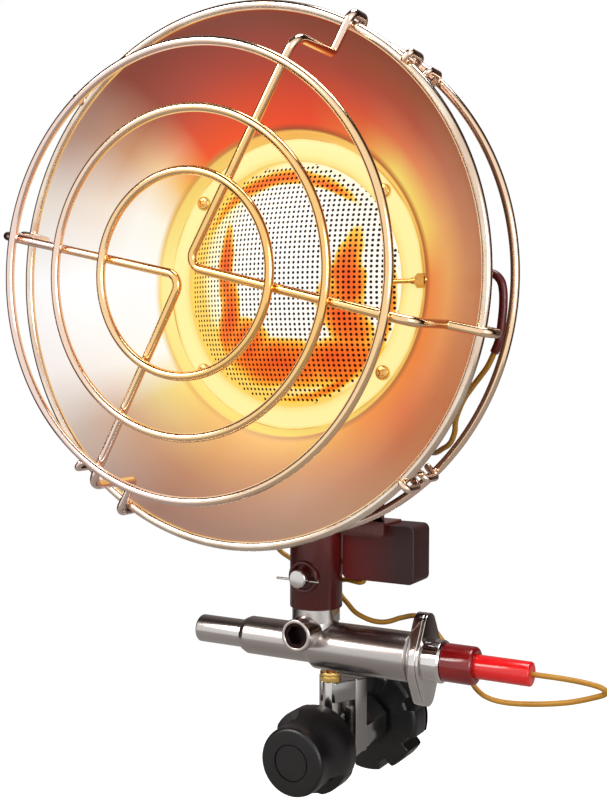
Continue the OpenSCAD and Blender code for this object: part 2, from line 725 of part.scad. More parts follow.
// Each clip is one wire: over the rim, down behind it, over a second hump to the rear ring
module rear_ring_clips() {
    gap = clip_d / 2 + 0.15;
    end_r = rim_r - 1;
    front = -rim_back - sqrt(pow(bead_r + gap, 2) - pow(end_r - bead_c[0], 2));
    behind = -rim_back + bead_r + clip_d + 3.6;
    rise = behind + 13;
    ring_front = -rim_back + rear_ring_y - wire_d / 2 - gap;
    over = rim_r + clip_d / 2 + 1.4;
    dip = rim_r - 4.8;
    ring_over = rear_ring_r + 3.2;
    hump_bend_r = 4;
    tight_bend_r = 2.2;
    color([0.75, 0.66, 0.6]) for (a = clip_angles)
        bent_wire([polar(a, end_r, front), polar(a, over, front), polar(a, over, behind),
            polar(a, dip, behind), polar(a, dip, rise), polar(a, ring_over, rise),
            polar(a, ring_over, ring_front), polar(a, rear_ring_r - 3.5, ring_front)],
            [hump_bend_r, hump_bend_r, tight_bend_r, tight_bend_r, tight_bend_r, tight_bend_r],
            clip_d);
}

// ---- tilt switch ----

module switch_bracket() {
    mid = bracket_x + bracket_w / 2;
    color([0.45, 0.2, 0.18]) difference() {
        union() {
            translate([bracket_x, bracket_y, bracket_foot]) rotate([90, 0, 0])
                rounded_block(bracket_w, lug_z + bracket_t - bracket_foot, bracket_t,
                    bracket_corner_r);
            translate([bracket_x, bracket_y - bracket_t, lug_z])
                cube([bracket_w, bracket_t, bracket_top - lug_z]);
            translate([bracket_x, tab_y, bracket_top - bracket_t])
                cube([bracket_w, bracket_y - tab_y, bracket_t]);
            translate([bracket_x, tab_y, bracket_top - bracket_t]) cube([bracket_w, bracket_t, tab_h]);
            translate([bracket_x, bracket_y - bracket_t, lug_z])
                cube([bracket_w, lug_end - bracket_y + bracket_t, bracket_t]);
        }
        translate([mid, 0, bracket_top + tab_screw_up])
            along_y(tab_y - 1, tab_y + bracket_t + 1, bracket_screw_d / 2 + fit);
        translate([mid, lug_screw_y, lug_z - 1])
            cylinder(h = bracket_t + 2, d = bracket_screw_d + 2 * fit);
    }
}

module bracket_screws() {
    mid = bracket_x + bracket_w / 2;
    head_h = 1.9;
    grip = 5;
    color([0.4, 0.25, 0.22]) {
        translate([mid, 0, bracket_top + tab_screw_up]) {
            along_y(tab_y + bracket_t + seat, tab_y + bracket_t + head_h, bracket_screw_head_r);
            along_y(tab_y + seat, tab_y + bracket_t + 1, bracket_screw_d / 2);
        }
        translate([mid, lug_screw_y, 0]) {
            translate([0, 0, lug_z + bracket_t + seat]) cylinder(h = head_h, r = bracket_screw_head_r);
            translate([0, 0, lug_z - grip]) cylinder(h = grip + bracket_t + 1, d = bracket_screw_d);
        }
    }
}

module switch_case() {
    color([0.3, 0.12, 0.1]) difference() {
        translate([case_x, -case_back - case_depth, case_z]) difference() {
            translate([0, case_depth, 0]) rotate([90, 0, 0])
                rounded_block(case_w, case_h, case_depth, case_r);
            translate([case_t, case_t, case_t])
                cube([case_w - 2 * case_t, case_depth, case_h - 2 * case_t]);
        }
        translate([bracket_x + bracket_w / 2, lug_screw_y, lug_z - case_t - 1])
            cylinder(h = case_t + 2, d = bracket_screw_d + 2 * fit);
    }
}

module switch_cover() {
    lip_t = 1.2;
    w = case_w - 2 * (case_t + fit);
    h = case_h - 2 * (case_t + fit);
    color([0.26, 0.1, 0.09])
        translate([case_x + case_t + fit, -case_back - cover_inset - cover_t, case_z + case_t + fit])
        difference() {
            translate([0, -cover_lip, 0]) cube([w, cover_lip + cover_t, h]);
            translate([lip_t, -cover_lip - 1, lip_t])
                cube([w - 2 * lip_t, cover_lip + 1, h - 2 * lip_t]);
        }
}

ball_mid = [case_x + case_w / 2, -case_back - case_depth + case_t + ball_d / 2 + 1.5,
    case_z + case_t + ball_d / 2 + part_gap];
module switch_contacts() {
    blade_t = 0.6;
    blade_w = 8;
    foot = 3;
    reach = ball_d / 2 + ball_travel + part_gap;
    color([0.8, 0.65, 0.35]) translate([ball_mid[0], ball_mid[1], case_z + case_t + seat])
        for (side = [0, 1]) mirror([side, 0, 0]) translate([reach, -blade_w / 2, 0]) {
            cube([blade_t, blade_w, ball_d + 4]);
            cube([foot, blade_w, blade_t]);
        }
}

module tilt_ball() color([0.8, 0.8, 0.82]) translate(ball_mid) sphere(d = ball_d, $fn = 48);

// ---- leads ----

module sensor_lead() color([0.8, 0.6, 0.2]) lead(sensor_route, lead_d);
module sensor_sleeve() {
    bore = lead_d / cos(180 / lead_sides) + fit;  // clears the lead's corners
    part = [for (i = [1:sleeve_points - 1]) sensor_route[i]];
    color([0.4, 0.05, 0.05]) difference() {
        lead(part, bore + 2 * sleeve_wall);
        lead(concat([2 * part[0] - part[1]], part,
            [2 * part[len(part) - 1] - part[len(part) - 2]]), bore);
    }
}
module cross_lead() color([0.75, 0.5, 0.2]) lead(cross_route, lead_d);
module loop_lead() color([0.8, 0.6, 0.2]) lead(loop_route, lead_d);

// ---- post ----

module neck_post() {
    color([0.28, 0.1, 0.09]) translate([0, -post_back, 0]) difference() {
        translate([0, 0, post_z]) cylinder(h = shoulder_z - post_z - seat, r = post_r);
        translate([0, 0, post_z - 1]) cylinder(h = shoulder_z - post_z + 2, r = bore_r);
        translate([0, 0, pin_z]) {
            along_y(-post_r - 1, 0, eyelet_d / 2 - 2.4);
            along_y(0, post_r + 1, pin_d / 2 + fit);
        }
    }
}

module post_eyelet() {
    color([0.3, 0.1, 0.1]) difference() {
        translate([0, 0, pin_z]) along_y(-eyelet_front, -post_back - post_r / 2, eyelet_d / 2);
        translate([0, 0, pin_z]) along_y(-eyelet_front - 1, -post_back, eyelet_d / 2 - 2.4);
        translate([0, -post_back, pin_z - eyelet_d]) cylinder(h = 2 * eyelet_d, r = post_r + seat);
    }
}

cotter_d = 1.4;
cotter_y = -(eyelet_front + cotter_d / 2 + part_gap);
module cross_pin() {
    color([0.75, 0.72, 0.7]) translate([0, 0, pin_z]) difference() {
        union() {
            along_y(-pin_front, -pin_front + 0.8, pin_head_d / 2 - 0.8, pin_head_d / 2);
            along_y(-pin_front + 0.8, -pin_front + pin_head_l, pin_head_d / 2);
            along_y(-pin_front + pin_head_l, -post_back + post_r + 3, pin_d / 2);
            along_y(-post_back + post_r + 0.5, -post_back + post_r + 3, pin_d / 2 + 1.5);
        }
        translate([-pin_head_d, cotter_y, -1.5]) rotate([0, 90, 0])
            cylinder(h = 2 * pin_head_d, d = cotter_d + 2 * fit, $fn = 20);
    }
}

module cotter_pin() {
    color([0.85, 0.8, 0.78]) translate([0, cotter_y, pin_z - 1.5]) {
        rod([-15.5, 0, 0], [10.5, 0, 0], cotter_d);
        translate([10.5, 0, 0]) sphere(d = cotter_d * 1.3, $fn = 20);
    }
}

module neck_collar() {
    color([0.78, 0.76, 0.74]) translate([0, -post_back, 0]) difference() {
        union() {
            translate([0, 0, pad_z + seat])
                cylinder(h = post_z - pad_z - 2 * seat, d = collar_d);
            translate([0, 0, pad_z + 1]) cylinder(h = jet_z - pad_z - 1, r = neck_spigot_r);
        }
        translate([0, 0, pad_z - 1]) cylinder(h = jet_z - pad_z + 2, r = neck_bore_r);
        translate([0, 0, pin_z]) along_y(-post_r, post_r, pin_d / 2 + fit);
        translate([0, 0, valve_z + boss_up]) along_y(-boss_out, 1, boss_d / 2 + seat);
    }
}

jet_head_d = 20;
jet_head_h = 3;
module gas_jet() {
    color([0.8, 0.65, 0.3]) translate([0, -post_back, jet_z]) difference() {
        union() {
            translate([0, 0, seat]) cylinder(h = jet_head_h, d = jet_head_d, $fn = 6);
            translate([0, 0, 2]) cylinder(h = 9, d = 9);
            translate([0, 0, -4]) cylinder(h = 5, r = neck_bore_r - fit);
        }
        translate([0, 0, -7]) cylinder(h = 15, d = 5, $fn = 32);
        translate([0, 0, 7]) cylinder(h = 6, d = 1.2, $fn = 20);
    }
}

// ---- safety valve ----

module valve_body() {
    small_r = tube_small_d / 2;
    guide_r = rod_d / 2 + run_gap;
    color([0.62, 0.58, 0.55]) difference() {
        union() {
            on_valve() {
                along_x(-tube_left, -tube_left + 3.5, small_r - 1.6, small_r);
                along_x(-tube_left + 3.5, 0, small_r);
                along_x(-2, 2, small_r, tube_large_d / 2);
                along_x(2, tube_right, tube_large_d / 2);
                translate([0, 0, boss_up]) along_y(-boss_out, 0, boss_d / 2);
                translate([0, 0, 0]) cylinder(h = pad_z - valve_z, d = collar_d - 1.4);
                translate([inlet_x, 0, inlet_up]) along_y(0, inlet_boss_l, pipe_d);
            }
        }
        on_valve() {
            along_x(-tube_left - 1, seat_x, guide_r);
            along_x(0, seat_x + seat_t + 1, 3.5);
            along_x(seat_x + seat_t, tube_right + 1, chamber_r);
            cylinder(h = pad_z - valve_z + 1, r = neck_port_r, $fn = 32);
            translate([0, 0, boss_up]) along_y(-boss_out - 1, -guide_r - 3, hex_plug_r + fit);
            translate([inlet_x, 0, inlet_up]) along_y(0, tube_large_d, pipe_d / 2 + fit);
        }
    }
}
hex_plug_r = 6.8;

module hex_plug() {
    l = 8;
    inset = 1.2;
    color([0.2, 0.17, 0.17]) on_valve() translate([0, 0, boss_up]) difference() {
        along_y(-boss_out + inset, -boss_out + inset + l, hex_plug_r);
        translate([0, -boss_out + inset - 1, 0]) rotate([-90, 0, 0])
            cylinder(h = l - 1, d = hex_af / cos(30), $fn = 6);
    }
}

module valve_flange() {
    half = flange_h / 2 - flange_end_r;
    color([0.7, 0.68, 0.67]) translate([flange_x, -post_back + flange_y, valve_z - 2]) difference() {
        rotate([90, 0, 90]) linear_extrude(height = flange_t) polygon(flange_outline(half));
        translate([-1, -flange_y, 2]) along_x(0, flange_t + 2, 8.2);
    }
}
flange_end_r = 8;
// Outline of a middle circle and two end circles, joined by their tangents
function arc_points(c, r, from, to, steps) =
    [for (i = [0:steps]) let (a = from + (to - from) * i / steps) c + r * [cos(a), sin(a)]];
function flange_outline(half) = let (
    tilt = asin((flange_w / 2 - flange_end_r) / half))
    concat(arc_points([0, half], flange_end_r, tilt, 180 - tilt, 10),
        arc_points([0, 0], flange_w / 2, 180 - tilt, 180 + tilt, 6),
        arc_points([0, -half], flange_end_r, 180 + tilt, 360 - tilt, 10),
        arc_points([0, 0], flange_w / 2, -tilt, tilt, 6));

module magnet_unit() {
    color([0.55, 0.5, 0.45]) on_valve() {
        along_x(magnet_x, tube_right - 1, chamber_r - fit);
        along_x(tube_right - 2, terminal_x + 4, 8.1 - 2);
    }
}

module union_collar() {
    color([0.8, 0.79, 0.78]) on_valve() difference() {
        union() {
            along_x(union_x, union_x + 2, union_d / 2 - 1.5, union_d / 2);
            along_x(union_x + 2, union_x + union_l - 1, union_d / 2);
            along_x(union_x + union_l - 1, union_x + union_l, union_d / 2, union_d / 2 - 0.8);
        }
        along_x(union_x - 1, union_x + union_l + 1, 6.1 + fit);
    }
}

module terminal_collar() {
    color([0.5, 0.05, 0.06]) on_valve() difference() {
        union() {
            along_x(terminal_x, terminal_x + terminal_l - 2, terminal_d / 2);
            along_x(terminal_x + terminal_l - 2, terminal_x + terminal_l, terminal_d / 2,
                terminal_d / 2 - 1.2);
        }
        along_x(terminal_x - 1, terminal_x + terminal_l + 1, sleeve_d / 2 + fit);
    }
}

module terminal_sleeve() {
    color([0.9, 0.08, 0.07]) on_valve() difference() {
        union() {
            along_x(sleeve_x, sleeve_end - 1, sleeve_d / 2);
            along_x(sleeve_end - 1, sleeve_end, sleeve_d / 2, sleeve_d / 2 - 0.7);
        }
        along_x(sleeve_end - 7, sleeve_end + 1, lead_d / 2 + fit);
    }
}

module push_rod() {
    color([0.75, 0.73, 0.72]) on_valve() {
        along_x(rod_tip_x, rod_tip_x + 1.5, rod_d / 2 - 1.2, rod_d / 2);
        along_x(rod_tip_x + 1.5, rod_tail_x, rod_d / 2);
        along_x(rod_tail_x, seat_x + seat_t + part_gap, stem_d / 2);
    }
}

module valve_disc() {
    color([0.2, 0.2, 0.2]) on_valve()
        along_x(seat_x + seat_t + part_gap, seat_x + seat_t + part_gap + disc_t, 6);
}

// Return spring of the push rod, round the stem
spring_d = 11;
spring_wire = 1.2;
spring_turns = 6;
spring_x0 = rod_tail_x + part_gap + spring_wire / 2;
spring_x1 = seat_x - part_gap - spring_wire / 2;
module coil(x0, x1, d, wire, turns, steps = 14, sides = 6) {
    n = turns * steps;
    r = d / 2 - wire / 2;
    c = [for (i = [0:n]) [x0 + (x1 - x0) * i / n, r * cos(360 * i / steps), r * sin(360 * i / steps)]];
    pts = [for (i = [0:n], k = [0:sides - 1])
        let (a = k * 360 / sides, turn = 360 * i / steps, out = [0, cos(turn), sin(turn)])
        c[i] + (out * cos(a) + [1, 0, 0] * sin(a)) * wire / 2];
    skin = [for (i = [0:n - 1], k = [0:sides - 1])
        let (p = i * sides + k, q = i * sides + (k + 1) % sides)
        each [[p, q, p + sides], [q, q + sides, p + sides]]];
    polyhedron(points = pts, faces = concat([[for (k = [sides - 1:-1:0]) k]], skin,
        [[for (k = [0:sides - 1]) n * sides + k]]));
}
module rod_spring() color([0.6, 0.6, 0.62]) on_valve()
    coil(spring_x0, spring_x1, spring_d, spring_wire, spring_turns);

// ---- regulator ----

supply_z = valve_z + inlet_up;
supply_y = -post_back + inlet_boss_l - 7;
module supply_pipe() {
    color([0.75, 0.42, 0.2]) bent_wire([[0, -riser_back, slab_top - 8], [0, -riser_back, supply_z],
        [inlet_x, -riser_back, supply_z], [inlet_x, supply_y, supply_z]],
        [supply_bend_r, supply_turn_r], pipe_d);
}

module brass_nut() {
    color([0.85, 0.7, 0.35]) translate([0, -riser_back, nut_z]) difference() {
        union() {
            cylinder(h = nut_h - 1, d = nut_d);
            translate([0, 0, nut_h - 1]) cylinder(h = 1, d1 = nut_d, d2 = nut_d - 1.6);
        }
        translate([0, 0, -1]) cylinder(h = nut_h + 2, d = pipe_d + 2 * fit, $fn = 32);
    }
}

module regulator_body() {
    half = neck_af / 2 + 0.5;
    waist = half - 3.5;
    arm_tip = chest_front + chest_l / 2;
    color([0.4, 0.39, 0.38]) difference() {
        union() {
            translate([0, 0, -slab_drop]) linear_extrude(height = slab_top - slab_drop + 2 * slab_drop)
                polygon([[-half, neck_front - seat], [half, neck_front - seat],
                    [waist, slab_front], [-waist, slab_front]]);
            translate([0, 0, arm_z]) linear_extrude(height = arm_h)
                polygon([[-waist, slab_front + 1], [waist, slab_front + 1], [riser_d / 2, arm_tip],
                    [-riser_d / 2, arm_tip]]);
            translate([-chest_w / 2, chest_front, -chest_drop])
                cube([chest_w, chest_back - chest_front, chest_top + chest_drop]);
            translate([0, -riser_back, chest_top - 2])
                cylinder(h = riser_top - chest_top + 2, d = riser_d);
        }
        translate([0, -riser_back, 0]) cylinder(h = slab_top + 1, d = pipe_d + 2 * fit, $fn = 32);
        along_y(chest_front - 1, spindle_tail + 1, spindle_d / 2 + run_gap);
        translate([0, 0, arm_z + arm_h / 2]) along_y(-riser_back, neck_front - 3, 2);
        along_y(neck_front - 4, neck_front + 1, 5);
        translate([0, neck_front - 4, 0]) cylinder(h = arm_z + arm_h / 2 + 2, r = 2, $fn = 24);
    }
}

cavity_r = 11;
neck_floor = 10;                                  // solid rear part of the neck
diaphragm_t = 1.2;
diaphragm_y = neck_front + 1.5;
module inlet_neck() {
    color([0.36, 0.35, 0.35]) difference() {
        translate([0, neck_front, 0]) rotate([-90, 0, 0]) rotate([0, 0, 22.5])
            cylinder(h = neck_l, d = neck_af / cos(22.5), $fn = 8);
        along_y(neck_front - 1, neck_back - neck_floor, cavity_r);
        along_y(neck_back - neck_floor - 1, neck_back + 1, shank_d / 2 + fit);
    }
}

module pressure_diaphragm() {
    color([0.25, 0.25, 0.28]) difference() {
        along_y(diaphragm_y, diaphragm_y + diaphragm_t, cavity_r - fit);
        along_y(neck_front, neck_front + 4, 2);
    }
}

module pressure_spring() {
    wire = 1.4;
    end_gap = wire / 2 + 0.1;
    color([0.6, 0.6, 0.62]) rotate([0, 0, 90]) coil(diaphragm_y + diaphragm_t + end_gap,
        neck_back - neck_floor - end_gap, 2 * (cavity_r - 3), wire, 4);
}

// ---- knob ----

module control_knob() {
    hub_r = knob_hub_d / 2;
    skirt_r = knob_skirt_d / 2;
    rib_w = 6;
    rib_from = knob_front + 4;
    edge = 2;                                     // bevel of the two front edges
    hollow = 9;
    color([0.1, 0.1, 0.1]) difference() {
        union() {
            along_y(knob_front, knob_front + edge, hub_r - edge, hub_r);
            along_y(knob_front + edge, knob_step + 1, hub_r);
            along_y(knob_step, knob_step + edge, skirt_r - edge, skirt_r);
            along_y(knob_step + edge, knob_back, skirt_r);
            intersection() {
                for (i = [0:knob_ribs - 1]) rotate([0, 45 + i * 360 / knob_ribs, 0])
                    translate([0, rib_from + 1, -rib_w / 2])
                        cube([skirt_r, knob_step - rib_from, rib_w]);
                along_y(rib_from, knob_step + edge, hub_r, skirt_r - 1);
            }
        }
        along_y(knob_front - 1, knob_front + cap_t, cap_d / 2 + fit);
        along_y(knob_back - spindle_in, knob_back + 1, spindle_d / 2 + fit);
        difference() {
            along_y(knob_back - hollow, knob_back + 1, skirt_r - 3);
            along_y(knob_back - hollow - 1, knob_back + 2, spindle_d / 2 + 4);
        }
    }
}

module knob_cap() {
    color([0.13, 0.13, 0.13]) difference() {
        along_y(knob_front + 0.3, knob_front + cap_t - seat, cap_d / 2);
        along_y(knob_front, knob_front + 0.6, cap_d / 2 - 1.2);
    }
}

module knob_spindle() color([0.75, 0.65, 0.4]) along_y(knob_back - spindle_in + seat,
    spindle_tail, spindle_d / 2);

// ---- tank nut ----

module inlet_nipple() {
    retainer = web_back + part_gap;
    shank_r = shank_d / 2;
    color([0.75, 0.62, 0.35]) difference() {
        union() {
            along_y(neck_back - neck_floor + fit, retainer, shank_r);
            along_y(retainer, retainer + retainer_l, retainer_d / 2);
            along_y(retainer + retainer_l, wheel_back, nose_shank_d / 2);
            along_y(wheel_back, nose_l, nose_d / 2);
            along_y(nose_l, nose_l + 1.5, nose_d / 2, nose_d / 2 - 1.5);
        }
        along_y(neck_back - neck_floor - 1, nose_l + 2, 2.5);
        translate([0, -4, 0]) rotate([-90, 0, 0]) rotate_extrude() translate([nose_shank_d / 2, 0])
            circle(d = seal_d + 2 * seat, $fn = 20);
    }
}

module nose_seal() color([0.1, 0.1, 0.1]) translate([0, -4, 0]) rotate([-90, 0, 0])
    rotate_extrude() translate([nose_shank_d / 2, 0]) circle(d = seal_d, $fn = 20);

module hand_wheel() {
    notch_r = wheel_r - notch_depth;
    step = 360 / lobes;
    outline = [for (i = [0:lobes - 1], k = [[-0.29, wheel_r], [-0.1, wheel_r + 0.4],
        [0.1, wheel_r + 0.4], [0.29, wheel_r], [0.4, notch_r], [0.6, notch_r]])
        let (a = (i + k[0]) * step) k[1] * [cos(a), sin(a)]];
    color([0.09, 0.09, 0.09]) difference() {
        union() {
            along_y(wheel_front, lobe_front + 1, hub_r);
            intersection() {
                translate([0, lobe_front, 0]) rotate([-90, 0, 0]) linear_extrude(height = lobe_l)
                    polygon(outline);
                union() {
                    along_y(lobe_front, lobe_front + 3, wheel_r - 2.5, wheel_r + 1);
                    along_y(lobe_front + 3, lobe_back - 3, wheel_r + 1);
                    along_y(lobe_back - 3, lobe_back, wheel_r + 1, wheel_r - 2.5);
                }
            }
            along_y(lobe_back - 1, wheel_back, rear_r);
        }
        along_y(wheel_front - 1, web_back + 1, shank_d / 2 + run_gap);
        along_y(web_back, wheel_back + 1, thread_r);
    }
}

reflector();
burner_plate();
emitter_screen();
inner_screen();
burner_plenum();
plenum_gasket();
plenum_baffle();
plate_screws();
mixing_elbow();
elbow_screws();
thermocouple();
thermocouple_nuts();
guard_outer_ring();
guard_middle_ring();
guard_inner_ring();
guard_spoke_upper();
guard_spoke_lower();
guard_rear_ring();
rear_ring_clips();
switch_bracket();
bracket_screws();
switch_case();
switch_cover();
switch_contacts();
tilt_ball();
sensor_sleeve();
sensor_lead();
cross_lead();
loop_lead();
neck_post();
post_eyelet();
cross_pin();
cotter_pin();
gas_jet();
neck_collar();
valve_body();
valve_flange();
hex_plug();
push_rod();
valve_disc();
rod_spring();
magnet_unit();
union_collar();
terminal_collar();
terminal_sleeve();
supply_pipe();
brass_nut();
regulator_body();
inlet_neck();
pressure_diaphragm();
pressure_spring();
control_knob();
knob_cap();
knob_spindle();
inlet_nipple();
nose_seal();
hand_wheel();
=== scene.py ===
from math import asin, cos, degrees, pi, radians, sin, sqrt, tan

import bmesh
import bpy
from mathutils import Matrix, Vector


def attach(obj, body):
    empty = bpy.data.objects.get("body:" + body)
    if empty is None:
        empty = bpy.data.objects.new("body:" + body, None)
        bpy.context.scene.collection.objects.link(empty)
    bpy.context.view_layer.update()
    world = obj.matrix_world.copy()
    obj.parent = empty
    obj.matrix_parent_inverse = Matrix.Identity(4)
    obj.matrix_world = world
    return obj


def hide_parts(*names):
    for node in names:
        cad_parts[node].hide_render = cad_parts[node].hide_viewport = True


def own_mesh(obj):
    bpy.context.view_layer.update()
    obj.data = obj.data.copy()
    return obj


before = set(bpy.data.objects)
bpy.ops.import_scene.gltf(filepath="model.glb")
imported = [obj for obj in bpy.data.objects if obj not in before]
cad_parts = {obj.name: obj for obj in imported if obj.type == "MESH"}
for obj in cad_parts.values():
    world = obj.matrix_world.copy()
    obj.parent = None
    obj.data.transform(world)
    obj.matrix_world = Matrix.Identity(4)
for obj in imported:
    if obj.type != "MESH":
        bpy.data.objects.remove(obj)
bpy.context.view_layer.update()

# Lengths are in millimetres up to makePiece, which turns them into metres. The camera, the
# materials and the studio are in metres. The dish faces the negative end of Y.


def addObject(name, data):
    thing = bpy.data.objects.new(name, data)
    bpy.context.scene.collection.objects.link(thing)
    return thing


print("stage: camera")

camera = {
    "place": (0.32131, -0.68075, 0.22828), "yaw": 29.4425, "pitch": 2.3292, "roll": 0.1867,
    "lens": 52.70, "sensor": 36,
}


def addCamera(c):
    a, e, r = radians(c["yaw"]), radians(c["pitch"]), radians(c["roll"])
    ahead = Vector((-sin(a) * cos(e), cos(a) * cos(e), -sin(e)))
    right = Vector((cos(a), sin(a), 0))
    up = right.cross(ahead)
    lens = bpy.data.cameras.new("camera")
    lens.lens, lens.sensor_width = c["lens"], c["sensor"]
    eye = addObject("camera", lens)
    rolled = (right * cos(r) + up * sin(r), up * cos(r) - right * sin(r), -ahead)
    turn = Matrix(rolled).transposed().to_4x4()
    eye.matrix_world = Matrix.Translation(c["place"]) @ turn
    bpy.context.scene.camera = eye


addCamera(camera)

print("stage: helpers")


def onCircle(radius, angle, centre=(0, 0)):
    return centre[0] + radius * cos(radians(angle)), centre[1] + radius * sin(radians(angle))


# A path with arcs in place of its corners
def softened(corners, radii, steps=5, closed=False):
    points, last = [], len(corners) - 1
    for i, corner in enumerate(corners):
        p = Vector(corner)
        r = radii[i] if isinstance(radii, (list, tuple)) else radii
        a, b = Vector(corners[i - 1]), Vector(corners[(i + 1) % len(corners)])
        u, w = (p - a).normalized(), (b - p).normalized()
        turn = u.angle(w, 0)
        if r == 0 or turn < 0.01 or (not closed and i in (0, last)):
            points.append(p)
            continue
        trim = min(r * tan(turn / 2), 0.48 * (p - a).length, 0.48 * (b - p).length)
        r = trim / tan(turn / 2)
        side = (w - u * u.dot(w)).normalized()
        centre = p - u * trim + side * r
        for k in range(steps + 1):
            t = turn * k / steps
            points.append(centre - side * r * cos(t) + u * r * sin(t))
    return points


# Faces between rows of points. Each row and the whole grid can close on themselves.
def gridFaces(rows, size, closedRow, closedGrid=True):
    faces = []
    for i in range(rows if closedGrid else rows - 1):
        a, b = i * size, (i + 1) % rows * size
        for j in range(size if closedRow else size - 1):
            k = (j + 1) % size
            faces.append((a + j, a + k, b + k, b + j))
    return faces


# Turned shape: profile points are (along, radius)
def lathe(profile, steps=96, closed=False, axis="Y", centre=(0, 0, 0), soft=0):
    if soft:
        profile = softProfile(profile, soft, 4, closed)
    points = []
    for k in range(steps):
        t = 2 * pi * k / steps
        for along, r in profile:
            x, y = r * cos(t), r * sin(t)
            p = {"X": (along, x, y), "Y": (x, along, y), "Z": (x, y, along)}[axis]
            points.append(Vector(p) + Vector(centre))
    return points, gridFaces(steps, len(profile), closed)


def softProfile(profile, soft, steps, closed):
    return [tuple(p)[:2] for p in softened([(a, r, 0) for a, r in profile], soft, steps, closed)]


# Profile of a tube from low to high
def ringProfile(low, high, inner, outer):
    return [(low, inner), (low, outer), (high, outer), (high, inner)]


# Round tube along a path, with rounded ends
def sweep(path, radius, sides=18, ends=True):
    path = [Vector(p) for p in path]
    radii = [radius] * len(path)
    if ends:
        first = (path[0] - path[1]).normalized() * radius
        final = (path[-1] - path[-2]).normalized() * radius
        reached = 0
        for reach in (0.5, 0.87, 0.995):
            step = reach - reached
            path = [path[0] + first * step] + path + [path[-1] + final * step]
            r = radius * sqrt(1 - reach * reach)
            radii = [r] + radii + [r]
            reached = reach
    points = []
    normal = Vector((0.3, 0.5, 0.8))
    last = len(path) - 1
    for i, p in enumerate(path):
        t = (path[min(i + 1, last)] - path[max(i - 1, 0)]).normalized()
        normal = (normal - t * normal.dot(t)).normalized()
        other = t.cross(normal)
        for k in range(sides):
            a = 2 * pi * k / sides
            points.append(p + (normal * cos(a) + other * sin(a)) * radii[i])
    faces = gridFaces(len(path), sides, True, False)
    faces.append(tuple(range(sides - 1, -1, -1)))
    faces.append(tuple(last * sides + k for k in range(sides)))
    return points, faces


# Flat outline drawn out from low to high, with rounded edges. The two axes of the outline
# and the one that it is drawn along are given as letters.
def slab(outline, low, high, axes="XYZ", edge=0.6, segments=3):
    order = {"XYZ": lambda a, b, c: (a, b, c), "YZX": lambda a, b, c: (c, a, b),
             "XZY": lambda a, b, c: (a, c, b)}[axes]
    n = len(outline)
    bm = bmesh.new()
    ring = [[bm.verts.new(order(a, b, c)) for a, b in outline] for c in (low, high)]
    bm.faces.new(ring[0][::-1])
    bm.faces.new(ring[1])
    for i in range(n):
        j = (i + 1) % n
        bm.faces.new((ring[0][i], ring[0][j], ring[1][j], ring[1][i]))
    bmesh.ops.recalc_face_normals(bm, faces=bm.faces)
    sharp = [e for e in bm.edges if e.calc_face_angle(0) > radians(25)]
    bmesh.ops.bevel(bm, geom=sharp, offset=edge, segments=segments, profile=0.5, affect="EDGES")
    bm.verts.index_update()
    shape = [v.co.copy() for v in bm.verts], [tuple(v.index for v in f.verts) for f in bm.faces]
    bm.free()
    return shape


# Joins shapes into one mesh piece. A shape can carry a number for its material, or a number for
# each face.
def makePiece(name, shapes, finishes, replaced, body="root", sharp=32):
    points, faces, numbers = [], [], []
    for shape in shapes:
        number = shape[2] if len(shape) > 2 else 0
        start = len(points)
        points += [Vector(p) * 0.001 for p in shape[0]]
        faces += [tuple(start + i for i in f) for f in shape[1]]
        numbers += number if isinstance(number, list) else [number] * len(shape[1])
    mesh = bpy.data.meshes.new(name)
    mesh.from_pydata(points, [], faces)
    for material in finishes:
        mesh.materials.append(material)
    mesh.polygons.foreach_set("material_index", numbers)
    bm = bmesh.new()
    bm.from_mesh(mesh)
    bmesh.ops.remove_doubles(bm, verts=bm.verts, dist=1e-6)
    bmesh.ops.recalc_face_normals(bm, faces=bm.faces)
    bm.to_mesh(mesh)
    bm.free()
    mesh.shade_smooth()
    mesh.set_sharp_from_angle(angle=radians(sharp))
    piece = addObject(name, mesh)
    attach(piece, body)
    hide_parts(*replaced)
    return piece


def tone(text):
    channels = [int(text[i:i + 2], 16) / 255 for i in (0, 2, 4)]
    return tuple(((c + 0.055) / 1.055) ** 2.4 if c > 0.04 else c / 12.92 for c in channels) + (1,)


def setInputs(tree, node, values):
    for key, value in values.items():
        if isinstance(value, bpy.types.NodeSocket):
            tree.links.new(value, node.inputs[key])
        else:
            node.inputs[key].default_value = value


def add(tree, kind, values=None, **settings):
    node = tree.nodes.new("ShaderNode" + kind)
    for key, value in settings.items():
        setattr(node, key, value)
    setInputs(tree, node, values or {})
    return node


def calc(tree, operation, a, b=0.0):
    return add(tree, "Math", {0: a, 1: b}, operation=operation).outputs[0]


def calcVector(tree, operation, a, b=(0, 0, 0)):
    node = add(tree, "VectorMath", {0: a, 1: b}, operation=operation)
    return node.outputs["Value" if operation in ("LENGTH", "DISTANCE", "DOT_PRODUCT") else "Vector"]


def ramp(tree, value, stops):
    node = add(tree, "ValToRGB", {"Fac": value})
    elements = node.color_ramp.elements
    while len(elements) < len(stops):
        elements.new(0.5)
    for element, (place, colour) in zip(elements, stops):
        element.position = place
    for element, (place, colour) in zip(elements, stops):
        element.color = tone(colour)
    return node.outputs["Color"]


def blendColour(tree, factor, a, b, mode="MIX"):
    return add(tree, "Mix", {0: factor, 6: a, 7: b}, data_type="RGBA", blend_type=mode).outputs[2]


def spread(tree, value, low, high, newLow, newHigh):
    return add(tree, "MapRange", {0: value, 1: low, 2: high, 3: newLow, 4: newHigh}).outputs[0]


def begin(name):
    material = bpy.data.materials.new(name)
    material.use_nodes = True
    tree = material.node_tree
    return material, tree, tree.nodes["Principled BSDF"], add(tree, "TexCoord").outputs["Object"]


